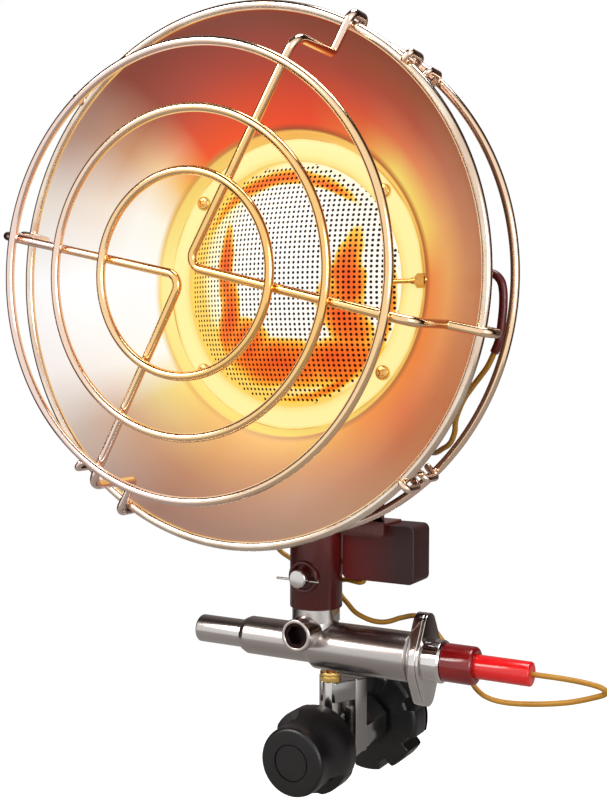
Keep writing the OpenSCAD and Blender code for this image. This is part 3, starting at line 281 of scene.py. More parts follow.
def noise(tree, place, scale, detail=3, roughness=0.5):
    return add(tree, "TexNoise", {"Vector": place, "Scale": scale, "Detail": detail,
                                  "Roughness": roughness}).outputs["Fac"]


# Soft noise round zero
def sway(tree, place, scale, detail, amount):
    return calc(tree, "MULTIPLY", calc(tree, "SUBTRACT", noise(tree, place, scale, detail), 0.5), amount)


# Fine grain in the roughness and the height of a surface
def addGrain(tree, shader, fine, rough, depth):
    bump = add(tree, "Bump", {"Height": fine, "Strength": depth, "Distance": 0.0003}).outputs[0]
    setInputs(tree, shader, {"Roughness": spread(tree, fine, 0.3, 0.7, *rough), "Normal": bump})


# A surface that glows in its own colour, over a dark shade of it
def addGlow(tree, shader, colour, strength, shade):
    setInputs(tree, shader, {"Base Color": blendColour(tree, 1.0, colour, (*shade, 1), "MULTIPLY"),
                             "Emission Color": colour, "Emission Strength": strength})


# General finish: two close colours mixed by soft noise, and grain in roughness and height.
# Glow is red light from the burner painted as a tint that fades along one axis between two places, and wear a
# colour at edges.
def finish(name, colour, second, metal=0.0, rough=(0.3, 0.4), patch=60, grain=900, depth=0.1,
           coat=0.0, specular=0.5, glow=None, wear=None):
    material, tree, shader, place = begin(name)
    patches = spread(tree, noise(tree, place, patch, 4), 0.35, 0.65, 0, 1)
    base = blendColour(tree, patches, tone(colour), tone(second))
    if wear:
        edges = add(tree, "NewGeometry").outputs["Pointiness"]
        scuff = calc(tree, "MULTIPLY", noise(tree, place, 400, 5), 0.06)
        worn = spread(tree, calc(tree, "ADD", edges, scuff), 0.555, 0.6, 0, 1)
        base = blendColour(tree, calc(tree, "MULTIPLY", worn, wear[1]), base, tone(wear[0]))
    # painted light: red glow from the burner laid into the base colour
    if glow:
        axis, start, end, glowTint = glow
        along = add(tree, "SeparateXYZ", {0: place}).outputs[axis]
        base = blendColour(tree, spread(tree, along, start, end, 0, 1), base, tone(glowTint))
    addGrain(tree, shader, noise(tree, place, grain, 4, 0.6), rough, depth)
    setInputs(tree, shader, {"Base Color": base, "Metallic": metal, "Specular IOR Level": specular,
                             "Coat Weight": coat})
    return material


print("stage: finishes")

beadFinish = finish("rim bead", "f4e6d4", "e2c8b2", 1, (0.1, 0.2), grain=1800, depth=0.02)
dishBackFinish = finish("dish back steel", "a5877a", "8c6a5e", 0.85, (0.3, 0.42), patch=22, grain=1800,
                        depth=0.08)
hotSteelFinish = finish("heat darkened steel", "7a645c", "5e4c46", 0.8, (0.32, 0.48), patch=40)
gasketFinish = finish("fibre gasket", "d9d3c6", "c2b9a8", 0, (0.8, 0.95), grain=1800, depth=0.5)
probeFinish = finish("heat tinted brass", "d9a55a", "b8803c", 1, (0.2, 0.34))
screwFinish = finish("face screw", "f6cf86", "e0a858", 1, (0.16, 0.26))
steelScrewFinish = finish("plated screw", "b0a59a", "93887e", 1, (0.22, 0.36))
# The post's enamel is painted redder towards its top, as red glow from the burner
postFinish = finish("post enamel", "541211", "460e0d", 0.0, (0.22, 0.28), patch=14, grain=2600,
                    depth=0.015, coat=0.2, specular=0.4, glow=(2, 0.1, 0.19, "94130f"))
bracketFinish = finish("bracket enamel", "581c1b", "481615", 0.1, (0.28, 0.36), patch=20, grain=2600,
                       depth=0.03, coat=0.25, wear=("7a3a34", 0.5))
# The case is painted red towards its end beside the post, as red glow from the burner
caseFinish = finish("switch case plastic", "3a1a1b", "301516", 0, (0.42, 0.52), grain=2400, depth=0.25,
                    glow=(0, 0.05, 0.016, "7c1511"))
sleeveDarkFinish = finish("dark shrink sleeve", "6b0f0f", "560b0b", 0, (0.3, 0.4), coat=0.2)
leadFinish = finish("mustard lead skin", "c58f2c", "b57f22", 0, (0.32, 0.42), grain=2600, depth=0.1)
chromeFinish = finish("bright turned collar", "e6e3e1", "dad6d3", 1, (0.06, 0.12), grain=2200,
                      depth=0.015)
neckChromeFinish = finish("bright neck collar", "dad6d3", "cac5c2", 1, (0.13, 0.22), grain=2200,
                          depth=0.02)
valveFinish = finish("satin turned tube", "c4bebb", "bbb5b2", 1, (0.2, 0.27), patch=12, grain=2400,
                     depth=0.025)
rodFinish = finish("bright push rod", "d2cdca", "c8c3c0", 1, (0.16, 0.22), patch=12, grain=2400, depth=0.02)
plugFinish = finish("black oxide plug", "2a1412", "1d0e0d", 0.7, (0.3, 0.42))
bossFinish = finish("bright boss rim", "dad2cd", "cabfb9", 1, (0.14, 0.22), grain=2200, depth=0.02)
terminalFinish = finish("dark red collar", "8a0f12", "760b0f", 0, (0.12, 0.2), coat=0.5)
sleeveRedFinish = finish("bright red sleeve", "f01c20", "e2141a", 0, (0.12, 0.2), coat=0.5)
copperFinish = finish("copper pipe", "d97a3a", "b85f2a", 1, (0.2, 0.32))
brassFinish = finish("bright brass", "fbdc92", "eec268", 1, (0.12, 0.2), grain=2200, depth=0.02)
riserFinish = finish("bright riser", "d8d5d3", "c8c4c2", 1, (0.12, 0.2), grain=2200, depth=0.02)
castFinish = finish("cast zinc", "b0aeac", "9c9a98", 1, (0.16, 0.24), patch=16, grain=2200, depth=0.03)
gripFinish = finish("matt black grip", "121213", "0c0c0d", 0, (0.3, 0.4), grain=2600, depth=0.12)
springFinish = finish("spring wire", "8f8d90", "7c7a7d", 1, (0.25, 0.35))
rubberFinish = finish("black rubber", "141414", "0d0d0d", 0, (0.5, 0.65))
ballFinish = finish("polished ball", "cfcfd2", "bdbdc2", 1, (0.08, 0.16))

print("stage: dish and burner")

dishHeight = 265.0
rimY = -184.0
onAxis = (0, rimY, dishHeight)

# Bands of painted light: the burner's glow and reflections of the bright room, painted as colours round the
# dish at six distances from its axis in metres, from the right side anticlockwise, with angles as shares of a
# turn.
# The two inner bands are painted golden highlights on the step beside the face ring, the white on the left
# side is a painted reflection, and the painted glow fades towards the rim.
dish = {
    "rimRadius": 137.2, "beadRadius": 2.5, "depth": 60.0, "floorRadius": 82.0, "recess": 8.5, "bow": 6.0,
    "sheet": 1.0, "holeRadius": 67.3, "beadTurn": 170,
    "glowAndReflectionBands": [
        (0.0818, [(0.0, "f2b455"), (0.1, "f8cf66"), (0.25, "f6b95a"), (0.4, "fbe07c"), (0.5, "fff4a4"),
                  (0.62, "fdea88"), (0.8, "f8d66c"), (1.0, "f2b455")]),
        (0.0832, [(0.0, "a8542a"), (0.1, "b8682e"), (0.25, "a4482a"), (0.4, "e2a84e"), (0.5, "f8dc80"),
                  (0.62, "ecb858"), (0.8, "c07a36"), (1.0, "a8542a")]),
        (0.086, [(0.0, "ee8a44"), (0.05, "f6cf62"), (0.11, "f6da6c"), (0.16, "ea7a3c"), (0.22, "ee4c2a"),
                 (0.34, "f65a2c"), (0.385, "f8c060"), (0.43, "fffae6"), (0.5, "ffffff"), (0.57, "fffcf0"),
                 (0.61, "f9de7c"), (0.68, "f2b45e"), (0.78, "f2bb5c"), (0.84, "f09248"), (0.93, "ec8338"),
                 (1.0, "ee8a44")]),
        (0.099, [(0.0, "e4a058"), (0.05, "e2a05a"), (0.1, "de7c4a"), (0.16, "d4502e"), (0.22, "d8482c"),
                 (0.34, "e05636"), (0.385, "fbd8a4"), (0.43, "fffaf0"), (0.5, "ffffff"), (0.57, "fffaf0"),
                 (0.61, "ead08b"), (0.68, "e0a668"), (0.78, "dea070"), (0.84, "dd8e52"), (0.89, "dd7646"),
                 (1.0, "e4a058")]),
        (0.114, [(0.0, "c07a4e"), (0.055, "b66642"), (0.11, "a63a26"), (0.17, "a23626"), (0.22, "ac402c"),
                 (0.3, "b34c3e"), (0.345, "a65242"), (0.39, "d09a74"), (0.44, "f6e6d4"), (0.5, "ffffff"),
                 (0.57, "fbf4ec"), (0.61, "d4aa8c"), (0.67, "c08a6a"), (0.78, "c4967a"), (0.88, "b86846"),
                 (1.0, "c07a4e")]),
        (0.130, [(0.0, "9c583e"), (0.055, "883f30"), (0.11, "702620"), (0.17, "762a24"), (0.25, "823c34"),
                 (0.34, "884438"), (0.39, "b48e7e"), (0.44, "e8ded4"), (0.5, "ffffff"), (0.56, "f8f2ee"),
                 (0.61, "c8b4a6"), (0.68, "9e7668"), (0.78, "a07c70"), (0.83, "a67e6a"), (0.9, "a05c40"),
                 (1.0, "9c583e")]),
    ],
    # strength of the dish's painted glow, and the dark base under it
    "glow": 0.9, "shade": 0.09,
}


# Distances from the dish axis in metres: to the right, up, and straight
def fromAxis(tree, place):
    parts = add(tree, "SeparateXYZ", {0: place}).outputs
    x, z = parts[0], calc(tree, "SUBTRACT", parts[2], dishHeight * 0.001)
    squares = calc(tree, "ADD", calc(tree, "MULTIPLY", x, x), calc(tree, "MULTIPLY", z, z))
    return x, z, calc(tree, "SQRT", squares)


# Blends the bands of painted glow and reflections by the distance from the dish axis, with a little noise in
# the angle
def dishFaceFinish(d):
    material, tree, shader, place = begin("dish face with painted glow")
    x, z, radius = fromAxis(tree, place)
    turn = calc(tree, "DIVIDE", calc(tree, "ARCTAN2", z, x), 2 * pi)
    turn = calc(tree, "FRACT", calc(tree, "ADD", turn, 1.0))
    turn = calc(tree, "ADD", turn, sway(tree, place, 14, 2, 0.04))
    turn = calc(tree, "FRACT", calc(tree, "ADD", turn, 1.0))
    colour, last = None, 0
    for reach, stops in d["glowAndReflectionBands"]:
        band = ramp(tree, turn, stops)
        colour = blendColour(tree, spread(tree, radius, last, reach, 0, 1), colour, band) if last else band
        last = reach
    # the dish is no lamp: its glow and reflections are painted light, sent out as emission
    addGlow(tree, shader, colour, d["glow"], [d["shade"]] * 3)
    shader.inputs["Specular IOR Level"].default_value = 0.35
    rings = add(tree, "CombineXYZ", {0: radius}).outputs[0]
    addGrain(tree, shader, noise(tree, rings, 1600), (0.3, 0.4), 0.03)
    return material


# Point at an angle and distance from the dish axis
def polar(angle, radius, y):
    x, z = onCircle(radius, angle, (0, dishHeight))
    return x, y, z


def onBead(d, angle):
    r, along = onCircle(d["beadRadius"], angle, (d["rimRadius"] - d["beadRadius"], 0))
    return along, r


# Point of the bowed wall: share 0 at the bead, 1 beside the floor
def wallPoint(d, share, off):
    a = Vector(onBead(d, d["beadTurn"])[::-1])
    b = Vector((d["floorRadius"] + 2.5, d["depth"] - d["recess"] - 0.5))
    n = Vector((b.y - a.y, a.x - b.x)).normalized()
    middle = (a + b) / 2 + n * 2 * d["bow"]
    p = (1 - share) ** 2 * a + 2 * share * (1 - share) * middle + share * share * b + n * off
    return p.y, p.x


def makeDish(d):
    steps, turns = 36, 288
    wall = [wallPoint(d, i / steps, 0) for i in range(steps, 0, -1)]
    back = [wallPoint(d, i / steps, d["sheet"]) for i in range(1, steps + 1)]
    bead = [onBead(d, a) for a in range(d["beadTurn"], d["beadTurn"] + 301, 12)]
    floor, sheet, edge = d["floorRadius"], d["sheet"], d["depth"] - d["recess"]
    front = [(d["depth"], d["holeRadius"]), (d["depth"], floor - 0.8), (d["depth"] - 0.8, floor),
             (edge + 0.9, floor), (edge + 0.25, floor + 0.3), (edge, floor + 1)] + wall
    rear = back + [(edge + sheet, floor + sheet + 0.6), (d["depth"] + sheet, floor + sheet),
                   (d["depth"] + sheet, d["holeRadius"])]
    profile = front + bead + rear
    points, faces = lathe(profile, turns, True, "Y", onAxis)
    numbers = [0] * len(front) + [1] * len(bead) + [2] * len(rear)
    finishes = [dishFaceFinish(d), beadFinish, dishBackFinish]
    makePiece("reflectorDish", [(points, faces, numbers * turns)], finishes, ["reflector"])


makeDish(dish)

burner = {
    "plateRadius": 79.0, "opening": 66.5, "plateFront": 57.25, "plateBack": 58.75, "plateGlow": 0.92,
    # the face ring's colours are painted glow, with a painted dark line of shade at its outer edge
    "plateColours": [(0.0, "f6cf6c"), (0.1, "fbe68e"), (0.35, "fdf2a2"), (0.85, "fdf2a6"), (0.96, "fbe48c"),
                     (1.0, "e0a048")],
    "emitterRadius": 66.2, "emitterFront": 58.8, "rise": 18.0, "pitch": 2.72, "holeShare": 0.33,
    "emitterGlow": 0.97, "emitterFlange": 76.9, "holeLip": 0.5,
    "flameWobble": 0.2, "wobbleScale": 3.2, "arcStrength": 0.7, "calmLean": (-0.22, -0.1),
    "screwCircle": 73.5, "screwAngles": (40, 140, 220, 320), "screwRadius": 4.0, "screwHeight": 2.6,
    "crossWide": 0.55, "crossReach": 2.1, "crossDeep": 0.9,
}


def plateFinish(b):
    material, tree, shader, place = begin("glowing face ring")
    reach = calc(tree, "ADD", fromAxis(tree, place)[2], sway(tree, place, 30, 3, 0.003))
    across = spread(tree, reach, b["opening"] * 0.001, b["plateRadius"] * 0.001, 0, 1)
    addGlow(tree, shader, ramp(tree, across, b["plateColours"]), b["plateGlow"], (0.08, 0.08, 0.07))
    shader.inputs["Specular IOR Level"].default_value = 0.3
    addGrain(tree, shader, noise(tree, place, 1500), (0.35, 0.45), 0.05)
    return material


def makePlate(b):
    profile = ringProfile(b["plateFront"], b["plateBack"], b["opening"], b["plateRadius"])
    shape = lathe(profile, 240, True, "Y", onAxis, 0.35)
    makePiece("burnerFace", [shape], [plateFinish(b)], ["burner_plate"])


makePlate(burner)

# Soft patches of flame seen through the screen: centre, half sizes and lean, as shares of the
# screen's radius and degrees
flames = [
    ((-0.52, 0.16), (0.09, 0.4), 2), ((-0.49, -0.26), (0.14, 0.4), 9), ((-0.3, -0.5), (0.26, 0.28), 40),
    ((-0.02, -0.65), (0.6, 0.23), 0), ((0.46, -0.6), (0.46, 0.19), -12), ((0.62, 0.04), (0.13, 0.4), 4),
    ((0.56, -0.27), (0.2, 0.34), -22),
]
# Thin flames along the screen's edge: middle angle and distance, half lengths and widths
flameArcs = [((100, 0.88), (62, 0.075)), ((64, 0.87), (20, 0.045)), ((318, 0.93), (70, 0.05)),
             ((258, 0.76), (60, 0.09))]
calmColours = [(0.0, "fffdf8"), (0.72, "fffaf0"), (0.9, "ffefb4"), (1.0, "f8cf60")]
flameColours = [(0.0, "ffe888"), (0.12, "ffd04c"), (0.26, "fca42e"), (0.45, "f6761c"), (0.9, "ea5614")]


def emitterFinish(b):
    material, tree, shader, place = begin("glowing perforated sheet")
    share = 1000 / b["emitterRadius"]
    flat = add(tree, "Mapping", {"Vector": place, "Location": (0, 0, -dishHeight * 0.001 * share),
                                 "Scale": (share, 0, share)}).outputs[0]
    clouds = add(tree, "TexNoise", {"Vector": flat, "Scale": b["wobbleScale"], "Detail": 3.0})
    wobble = calcVector(tree, "SUBTRACT", clouds.outputs["Color"], (0.5, 0.5, 0.5))
    warped = calcVector(tree, "ADD", flat, calcVector(tree, "MULTIPLY", wobble, [b["flameWobble"]] * 3))

    # soft oval patch, 1 in its middle and 0 at its edge
    def patch(vector, middle, size, lean=0):
        local = add(tree, "Mapping", {"Vector": vector, "Location": (middle[0], 0, middle[1]),
                                      "Rotation": (0, radians(lean), 0), "Scale": (size[0], 1, size[1])},
                    vector_type="TEXTURE").outputs[0]
        return add(tree, "TexGradient", {"Vector": local}, gradient_type="SPHERICAL").outputs["Fac"]

    flame = 0.0
    for middle, size, lean in flames:
        flame = calc(tree, "MAXIMUM", flame, patch(warped, middle, size, lean))
    parts = add(tree, "SeparateXYZ", {0: flat}).outputs
    x, z = parts[0], parts[2]
    around = calc(tree, "DIVIDE", calc(tree, "ARCTAN2", z, x), pi / 180)
    radius = calcVector(tree, "LENGTH", flat)
    away = calc(tree, "ADD", radius, sway(tree, flat, 2.6, 3, 0.1))
    polarPlace = add(tree, "CombineXYZ", {0: around, 2: away}).outputs[0]
    for (angle, reach), size in flameArcs:
        for shift in (0, 360):
            spot = patch(polarPlace, (angle - shift, reach), size)
            flame = calc(tree, "MAXIMUM", flame, calc(tree, "MULTIPLY", spot, b["arcStrength"]))
    across, up = b["calmLean"]
    low = calc(tree, "ADD", calc(tree, "MULTIPLY", z, up), calc(tree, "MULTIPLY", x, across))
    calm = ramp(tree, calc(tree, "ADD", radius, low), calmColours)
    colour = blendColour(tree, spread(tree, flame, 0.02, 0.13, 0, 1), calm, ramp(tree, flame, flameColours))
    addGlow(tree, shader, colour, b["emitterGlow"], (0.12, 0.1, 0.08))
    shader.inputs["Metallic"].default_value = 0.4
    shader.inputs["Roughness"].default_value = 0.45
    return material


# Square grid of holes over the dome. Each cell has a ring of eight points round its hole.
def makeEmitter(b):
    edge, p, hole = b["emitterRadius"], b["pitch"], b["pitch"] * b["holeShare"]
    ball = (edge ** 2 + b["rise"] ** 2) / (2 * b["rise"])
    half = int(edge / p) + 1

    def onDome(x, z, back=0.0):
        r = sqrt(x * x + z * z)
        if r > edge:
            x, z, r = x * edge / r, z * edge / r, edge
        depth = b["emitterFront"] - b["rise"] + ball - sqrt(ball ** 2 - r * r) + back
        return Vector((x, rimY + depth, dishHeight + z))

    points, faces, known = [], [], {}

    def corner(i, j):
        if (i, j) not in known:
            known[i, j] = len(points)
            points.append(onDome(i * p / 2, j * p / 2))
        return known[i, j]

    around = [(1, 0), (1, 1), (0, 1), (-1, 1), (-1, 0), (-1, -1), (0, -1), (1, -1)]
    for i in range(-half, half + 1):
        for j in range(-half, half + 1):
            x, z = i * p, j * p
            r = sqrt(x * x + z * z)
            if r > edge + p * 0.4:
                continue
            outer = [corner(2 * i + u, 2 * j + v) for u, v in around]
            if r > edge - p * 0.5:
                faces.append(tuple(outer))
                continue
            rims = []
            for back in (0.0, b["holeLip"]):
                rims.append(len(points))
                for k in range(8):
                    a = k * pi / 4
                    points.append(onDome(x + hole * cos(a), z + hole * sin(a), back))
            for k in range(8):
                q = (k + 1) % 8
                faces.append((outer[k], outer[q], rims[0] + q, rims[0] + k))
                faces.append((rims[0] + k, rims[0] + q, rims[1] + q, rims[1] + k))
    flange = lathe([(b["emitterFront"], edge - 0.1), (b["emitterFront"], b["emitterFlange"])], 160, False,
                   "Y", onAxis)
    makePiece("emitterSheet", [(points, faces), flange], [emitterFinish(b)],
              ["emitter_screen"], sharp=60)


makeEmitter(burner)


# Pan head with a cross recess pressed into it, as a fine polar surface
def makePlateScrews(b):
    rings, spokes, radius = 22, 64, b["screwRadius"]
    wide, reach = b["crossWide"], b["crossReach"]
    shapes = []
    for turn in b["screwAngles"]:
        a0 = radians(turn)
        place = Vector(polar(turn, b["screwCircle"], rimY + b["plateFront"]))
        points = []
        for i in range(rings + 1):
            share = i / rings
            r = radius * sin(share * pi / 2)
            top = b["screwHeight"] * cos(share * pi / 2) ** 0.45 if share < 1 else 0
            for k in range(spokes):
                a = 2 * pi * k / spokes
                u, v = abs(r * cos(a)), abs(r * sin(a))
                cut = (u < wide and v < reach) or (v < wide and u < reach)
                out = top - (b["crossDeep"] if cut else 0)
                points.append(place + Vector((r * cos(a + a0), -out, r * sin(a + a0))))
        shapes.append((points, gridFaces(rings + 1, spokes, True, False)))
        shapes.append(lathe([(0, radius), (-0.35, radius), (-0.35, 0.1)], 48, False, "Y", place))
    makePiece("faceScrews", shapes, [screwFinish], ["plate_screws"], sharp=50)


makePlateScrews(burner)

print("stage: guard")

# Wire metal with a painted reflection of the burner's glow: gold beside the burner's right side, cream
# further out
wireLook = {
    "centre": (0.035, rimY * 0.001, dishHeight * 0.001), "perMetre": 6.0,
    "reflectedGlowColours": [(0.0, "fcc468"), (0.4, "facc84"), (0.6, "f8d6ac"), (0.76, "f4dacc"), (1.0, "f0d8ce")],
}


def wireMetal(w):
    material, tree, shader, place = begin("guard wire nickel")
    away = calcVector(tree, "DISTANCE", place, w["centre"])
    away = calc(tree, "MULTIPLY", calc(tree, "ADD", away, sway(tree, place, 30, 3, 0.03)), w["perMetre"])
    # painted reflection: the burner's glow laid into the wire colour, fading with distance from the burner
    colour = ramp(tree, away, w["reflectedGlowColours"])
    setInputs(tree, shader, {"Base Color": colour, "Metallic": 1})
    addGrain(tree, shader, noise(tree, place, 2000), (0.08, 0.16), 0.02)
    return material


wireFinish = wireMetal(wireLook)

guard = {
    "wire": 2.25, "rings": {"outer": 107.4, "middle": 77.2, "inner": 48.2}, "ringY": -228.6,
    "spokeY": -224.05, "spokeBends": [0, 4.4, 4.4, 2.6, 7, 6, 7, 2.6, 4.4, 4.4, 0],
    "turnRadius": 119.5, "hookRadius": 140.05, "hookFront": -188.95, "hookBack": -175.55, "tip": 134.2,
    "spokeAngles": (168.5, 240.5), "lowerCorner": (-2.5, -0.8), "upperCorner": (0.3, -3.9),
    "rearRing": (134.0, -144.3), "clipWire": 1.8, "clipAngles": (45.5, 134.5, 225.5, 314.5),
    "clipOver": 140.4, "clipDip": 132.4, "clipHump": 137.2, "clipEnd": 130.5, "clipBack": 3.6,
    "clipRun": 13.0, "clipBends": [0, 4, 4, 2.2, 2.2, 2.2, 2.2, 0],
}


def ringWire(radius, y, wire):
    circle = [onCircle(wire, 18 * k, (radius, 0))[::-1] for k in range(20)]
    return lathe(circle, 288, True, "Y", (0, y, dishHeight))


# One wire: hook over the rim, leg, rounded corner beside the axis, leg and hook
def spokeWire(g, turned, corner):
    a, b = (s + turned for s in g["spokeAngles"])
    flip = -1 if turned else 1
    points = [polar(a, g["tip"], g["hookBack"]), polar(a, g["hookRadius"], g["hookBack"]),
              polar(a, g["hookRadius"], g["hookFront"]), polar(a, g["turnRadius"], g["hookFront"]),
              polar(a, g["turnRadius"], g["spokeY"]),
              (corner[0] * flip, g["spokeY"], dishHeight + corner[1] * flip),
              polar(b, g["turnRadius"], g["spokeY"]), polar(b, g["turnRadius"], g["hookFront"]),
              polar(b, g["hookRadius"], g["hookFront"]), polar(b, g["hookRadius"], g["hookBack"]),
              polar(b, g["tip"], g["hookBack"])]
    return sweep(softened(points, g["spokeBends"], 8), g["wire"])


# One clip wire: over the rim, down behind it, over a second hump to the rear ring
def clipWire(g, angle):
    gap = g["clipWire"] + 0.15
    rim, bead = dish["rimRadius"], dish["beadRadius"]
    front = rimY - sqrt((bead + gap) ** 2 - (bead - 1) ** 2)
    behind = rimY + bead + 2 * g["clipWire"] + g["clipBack"]
    ringFront = g["rearRing"][1] - g["wire"] - gap
    over, dip, hump, run = g["clipOver"], g["clipDip"], g["clipHump"], g["clipRun"]
    places = [(rim - 1, front), (over, front), (over, behind), (dip, behind), (dip, behind + run),
              (hump, behind + run), (hump, ringFront), (g["clipEnd"], ringFront)]
    points = [polar(angle, r, y) for r, y in places]
    return sweep(softened(points, g["clipBends"], 6), g["clipWire"])


def makeGuard(g):
    wires = [(ring + "GuardRing", "guard_" + ring + "_ring", [ringWire(radius, g["ringY"], g["wire"])])
             for ring, radius in g["rings"].items()]
    wires += [("lowerSpoke", "guard_spoke_lower", [spokeWire(g, 0, g["lowerCorner"])]),
              ("upperSpoke", "guard_spoke_upper", [spokeWire(g, 180, g["upperCorner"])]),
              ("rearRing", "guard_rear_ring", [ringWire(*g["rearRing"], g["wire"])]),
              ("rearClips", "rear_ring_clips", [clipWire(g, a) for a in g["clipAngles"]])]
    for name, node, shapes in wires:
        makePiece(name, shapes, [wireFinish], [node])


makeGuard(guard)

print("stage: rear of the burner")

rear = {
    "front": 62.1, "back": 71.1, "radius": 68.5, "flangeRadius": 78.0, "flange": 1.5, "sheet": 1.2,
    "inletRadius": 12.5, "nutRadius": 3.6, "nutBore": 2.1, "nutFrom": 1.4, "nutTo": 5.0,
    "postY": -96.0, "postRadius": 15.0, "postBore": 12.9, "shoulder": 233.0, "inPost": 12.0,
    "elbowTop": 282.0, "elbowRadius": 14.5, "elbowBore": 11.5, "elbowFlange": 23.0, "elbowSheet": 2.0,
    # radii of the profiles' corners
    "cupSoft": [0.2, 0.6, 0.6, 1.6, 3.0, 0.3, 0.3, 1.8], "tubeSoft": [0, 0.5, 0.7, 2.2, 0],
    "topSoft": [0, 0.2, 0.6, 6.5, 0], "nutSoft": 0.4,
}


def makeRear(r):
    front, back, hole = r["front"], r["back"], dish["holeRadius"]
    step, inside = front + r["flange"], back - r["sheet"]
    cup = lathe([(front, hole), (front, r["flangeRadius"]), (step, r["flangeRadius"]), (step, r["radius"]),
                 (back, r["radius"]), (back, r["inletRadius"]), (inside, r["inletRadius"]), (inside, hole)],
                192, True, "Y", onAxis, r["cupSoft"])
    nut = ringProfile(front + r["nutFrom"], front + r["nutTo"], r["nutBore"], r["nutRadius"])
    nuts = [lathe(nut, 32, True, "Y", polar(a, burner["screwCircle"], rimY), r["nutSoft"])
            for a in burner["screwAngles"]]
    makePiece("plenumCup", [cup] + nuts, [hotSteelFinish], ["burner_plenum"])
    start = back + 0.05
    step = start + r["elbowSheet"]
    tube = lathe([(start, r["elbowBore"]), (start, r["elbowFlange"]), (step, r["elbowFlange"]),
                  (step, r["elbowRadius"]), (r["postY"] - rimY, r["elbowRadius"])],
                 96, False, "Y", onAxis, r["tubeSoft"])
    low, high, bore, radius = r["shoulder"], r["elbowTop"], r["postBore"], r["postRadius"]
    top = lathe([(low - r["inPost"], bore), (low, bore), (low, radius), (high, radius), (high, 0.05)],
                96, False, "Z", (0, r["postY"], 0), r["topSoft"])
    makePiece("mixingElbow", [tube, top], [hotSteelFinish], ["mixing_elbow"])


makeRear(rear)

print("stage: post")

post = {
    "low": 83.0, "high": 232.95, "radius": 15.0, "bore": 13.0, "pinHeight": 102.0,
    "eyeletRadius": 9.3, "eyeletWall": 2.4, "eyeletFront": -112.3,
    "pinFront": -118.7, "pinHead": 5.25, "pinHeadLong": 4.0, "pinRadius": 3.0, "pinEnd": 4.5,
    "pinEndLong": 3.0, "pinSoft": [0, 0.9, 0.4, 0.3, 0.1, 0.4, 0.9, 0],
    "cotterY": -113.3, "cotterDrop": 1.5, "cotterReach": (-15.5, 10.5), "cotterRadius": 0.7,
}


# The eyelet's inner end follows the post's surface
def eyeletShape(p):
    y, front, outer, steps = rear["postY"], p["eyeletFront"], p["eyeletRadius"], 96
    ring = softProfile(ringProfile(0, 3, outer - p["eyeletWall"], outer), 0.7, 5, True)
    points = []
    for k in range(steps):
        t = 2 * pi * k / steps
        for along, r in ring:
            x, z = r * cos(t), r * sin(t)
            skin = y - sqrt(max(p["radius"] ** 2 - x * x, 0)) + 0.4
            share = min(1, max(0, along / 3) ** 0.9)
            points.append((x, front + (skin - front) * share, p["pinHeight"] + z))
    return points, gridFaces(steps, len(ring), True)


def makePost(p):
    y = rear["postY"]
    tube = lathe(ringProfile(p["low"], p["high"], p["bore"], p["radius"]), 120, True, "Z", (0, y, 0), 0.5)
    makePiece("postTube", [tube], [postFinish], ["neck_post"])
    makePiece("pinEyelet", [eyeletShape(p)], [postFinish], ["post_eyelet"])
    front, head, behind = p["pinFront"], p["pinFront"] + p["pinHeadLong"], y + p["radius"]
    end = behind + p["pinEndLong"]
    pin = lathe([(front, 0.05), (front, p["pinHead"]), (head, p["pinHead"]), (head, p["pinRadius"]),
                 (behind, p["pinRadius"]), (behind, p["pinEnd"]), (end, p["pinEnd"]), (end, 0.05)],
                72, False, "Y", (0, 0, p["pinHeight"]), p["pinSoft"])
    makePiece("crossPin", [pin], [neckChromeFinish], ["cross_pin"])
    z, (left, right) = p["pinHeight"] - p["cotterDrop"], p["cotterReach"]
    cotter = sweep([(x, p["cotterY"], z) for x in (left, -2, right)], p["cotterRadius"], 14)
    makePiece("cotterWire", [cotter], [neckChromeFinish], ["cotter_pin"])


makePost(post)

print("stage: valve")

valve = {
    "height": 61.0, "y": -96.0, "smallRadius": 11.0, "largeRadius": 13.75, "left": -47.0, "right": 60.5,
    "taper": (-2.0, 2.0), "bore": 8.15, "mouth": 9.4, "mouthLong": 3.5,
    "tubeSoft": [0, 0.4, 0.6, 1.2, 2.2, 2.2, 0.4, 0],
    "bossRadius": 9.15, "bossUp": 9.5, "bossFront": -120.0, "plugRadius": 7.0, "plugDeep": 3.0,
    "padRadius": 13.0, "padTop": 75.25, "inletRadius": 5.0, "inletEnd": -81.3, "inletX": 16.0, "inletZ": 58.0,
    "rodRadius": 8.1, "rodTip": -79.0, "rodTail": -24.0, "stemRadius": 2.0, "stemEnd": 9.3, "travel": 6.0,
    "rodSoft": [0, 1.3, 0.3, 0.3, 0.2, 0],
    "springReach": (-23.0, 4.0), "springRadius": 4.9, "springWire": 0.6, "springTurns": 6,
    "flangeX": 60.55, "flangeThick": 7.5, "flangeFront": 5.6, "flangeSize": (52, 34, 8),
    "flangeShift": (7, -2),
    "unionX": 68.1, "unionRadius": 11.7, "unionBore": 6.2, "unionLong": 12.0,
    "unionNear": (2.2, 1.5), "unionFar": (1.2, 0.9), "unionSoft": [0.1, 0.3, 0.8, 0.8, 0.3, 0.1],
    "redX": 80.15, "redRadius": 10.35, "redBore": 6.6, "redLong": 18.0, "redSoft": [0.1, 0.7, 2.0, 0.3],
    "sleeveX": 90.15, "sleeveRadius": 6.5, "sleeveEnd": 128.65, "sleeveHole": 1.5, "sleeveDeep": 5.0,
    "sleeveSoft": [0, 0.2, 1.1, 0.4, 0],
}


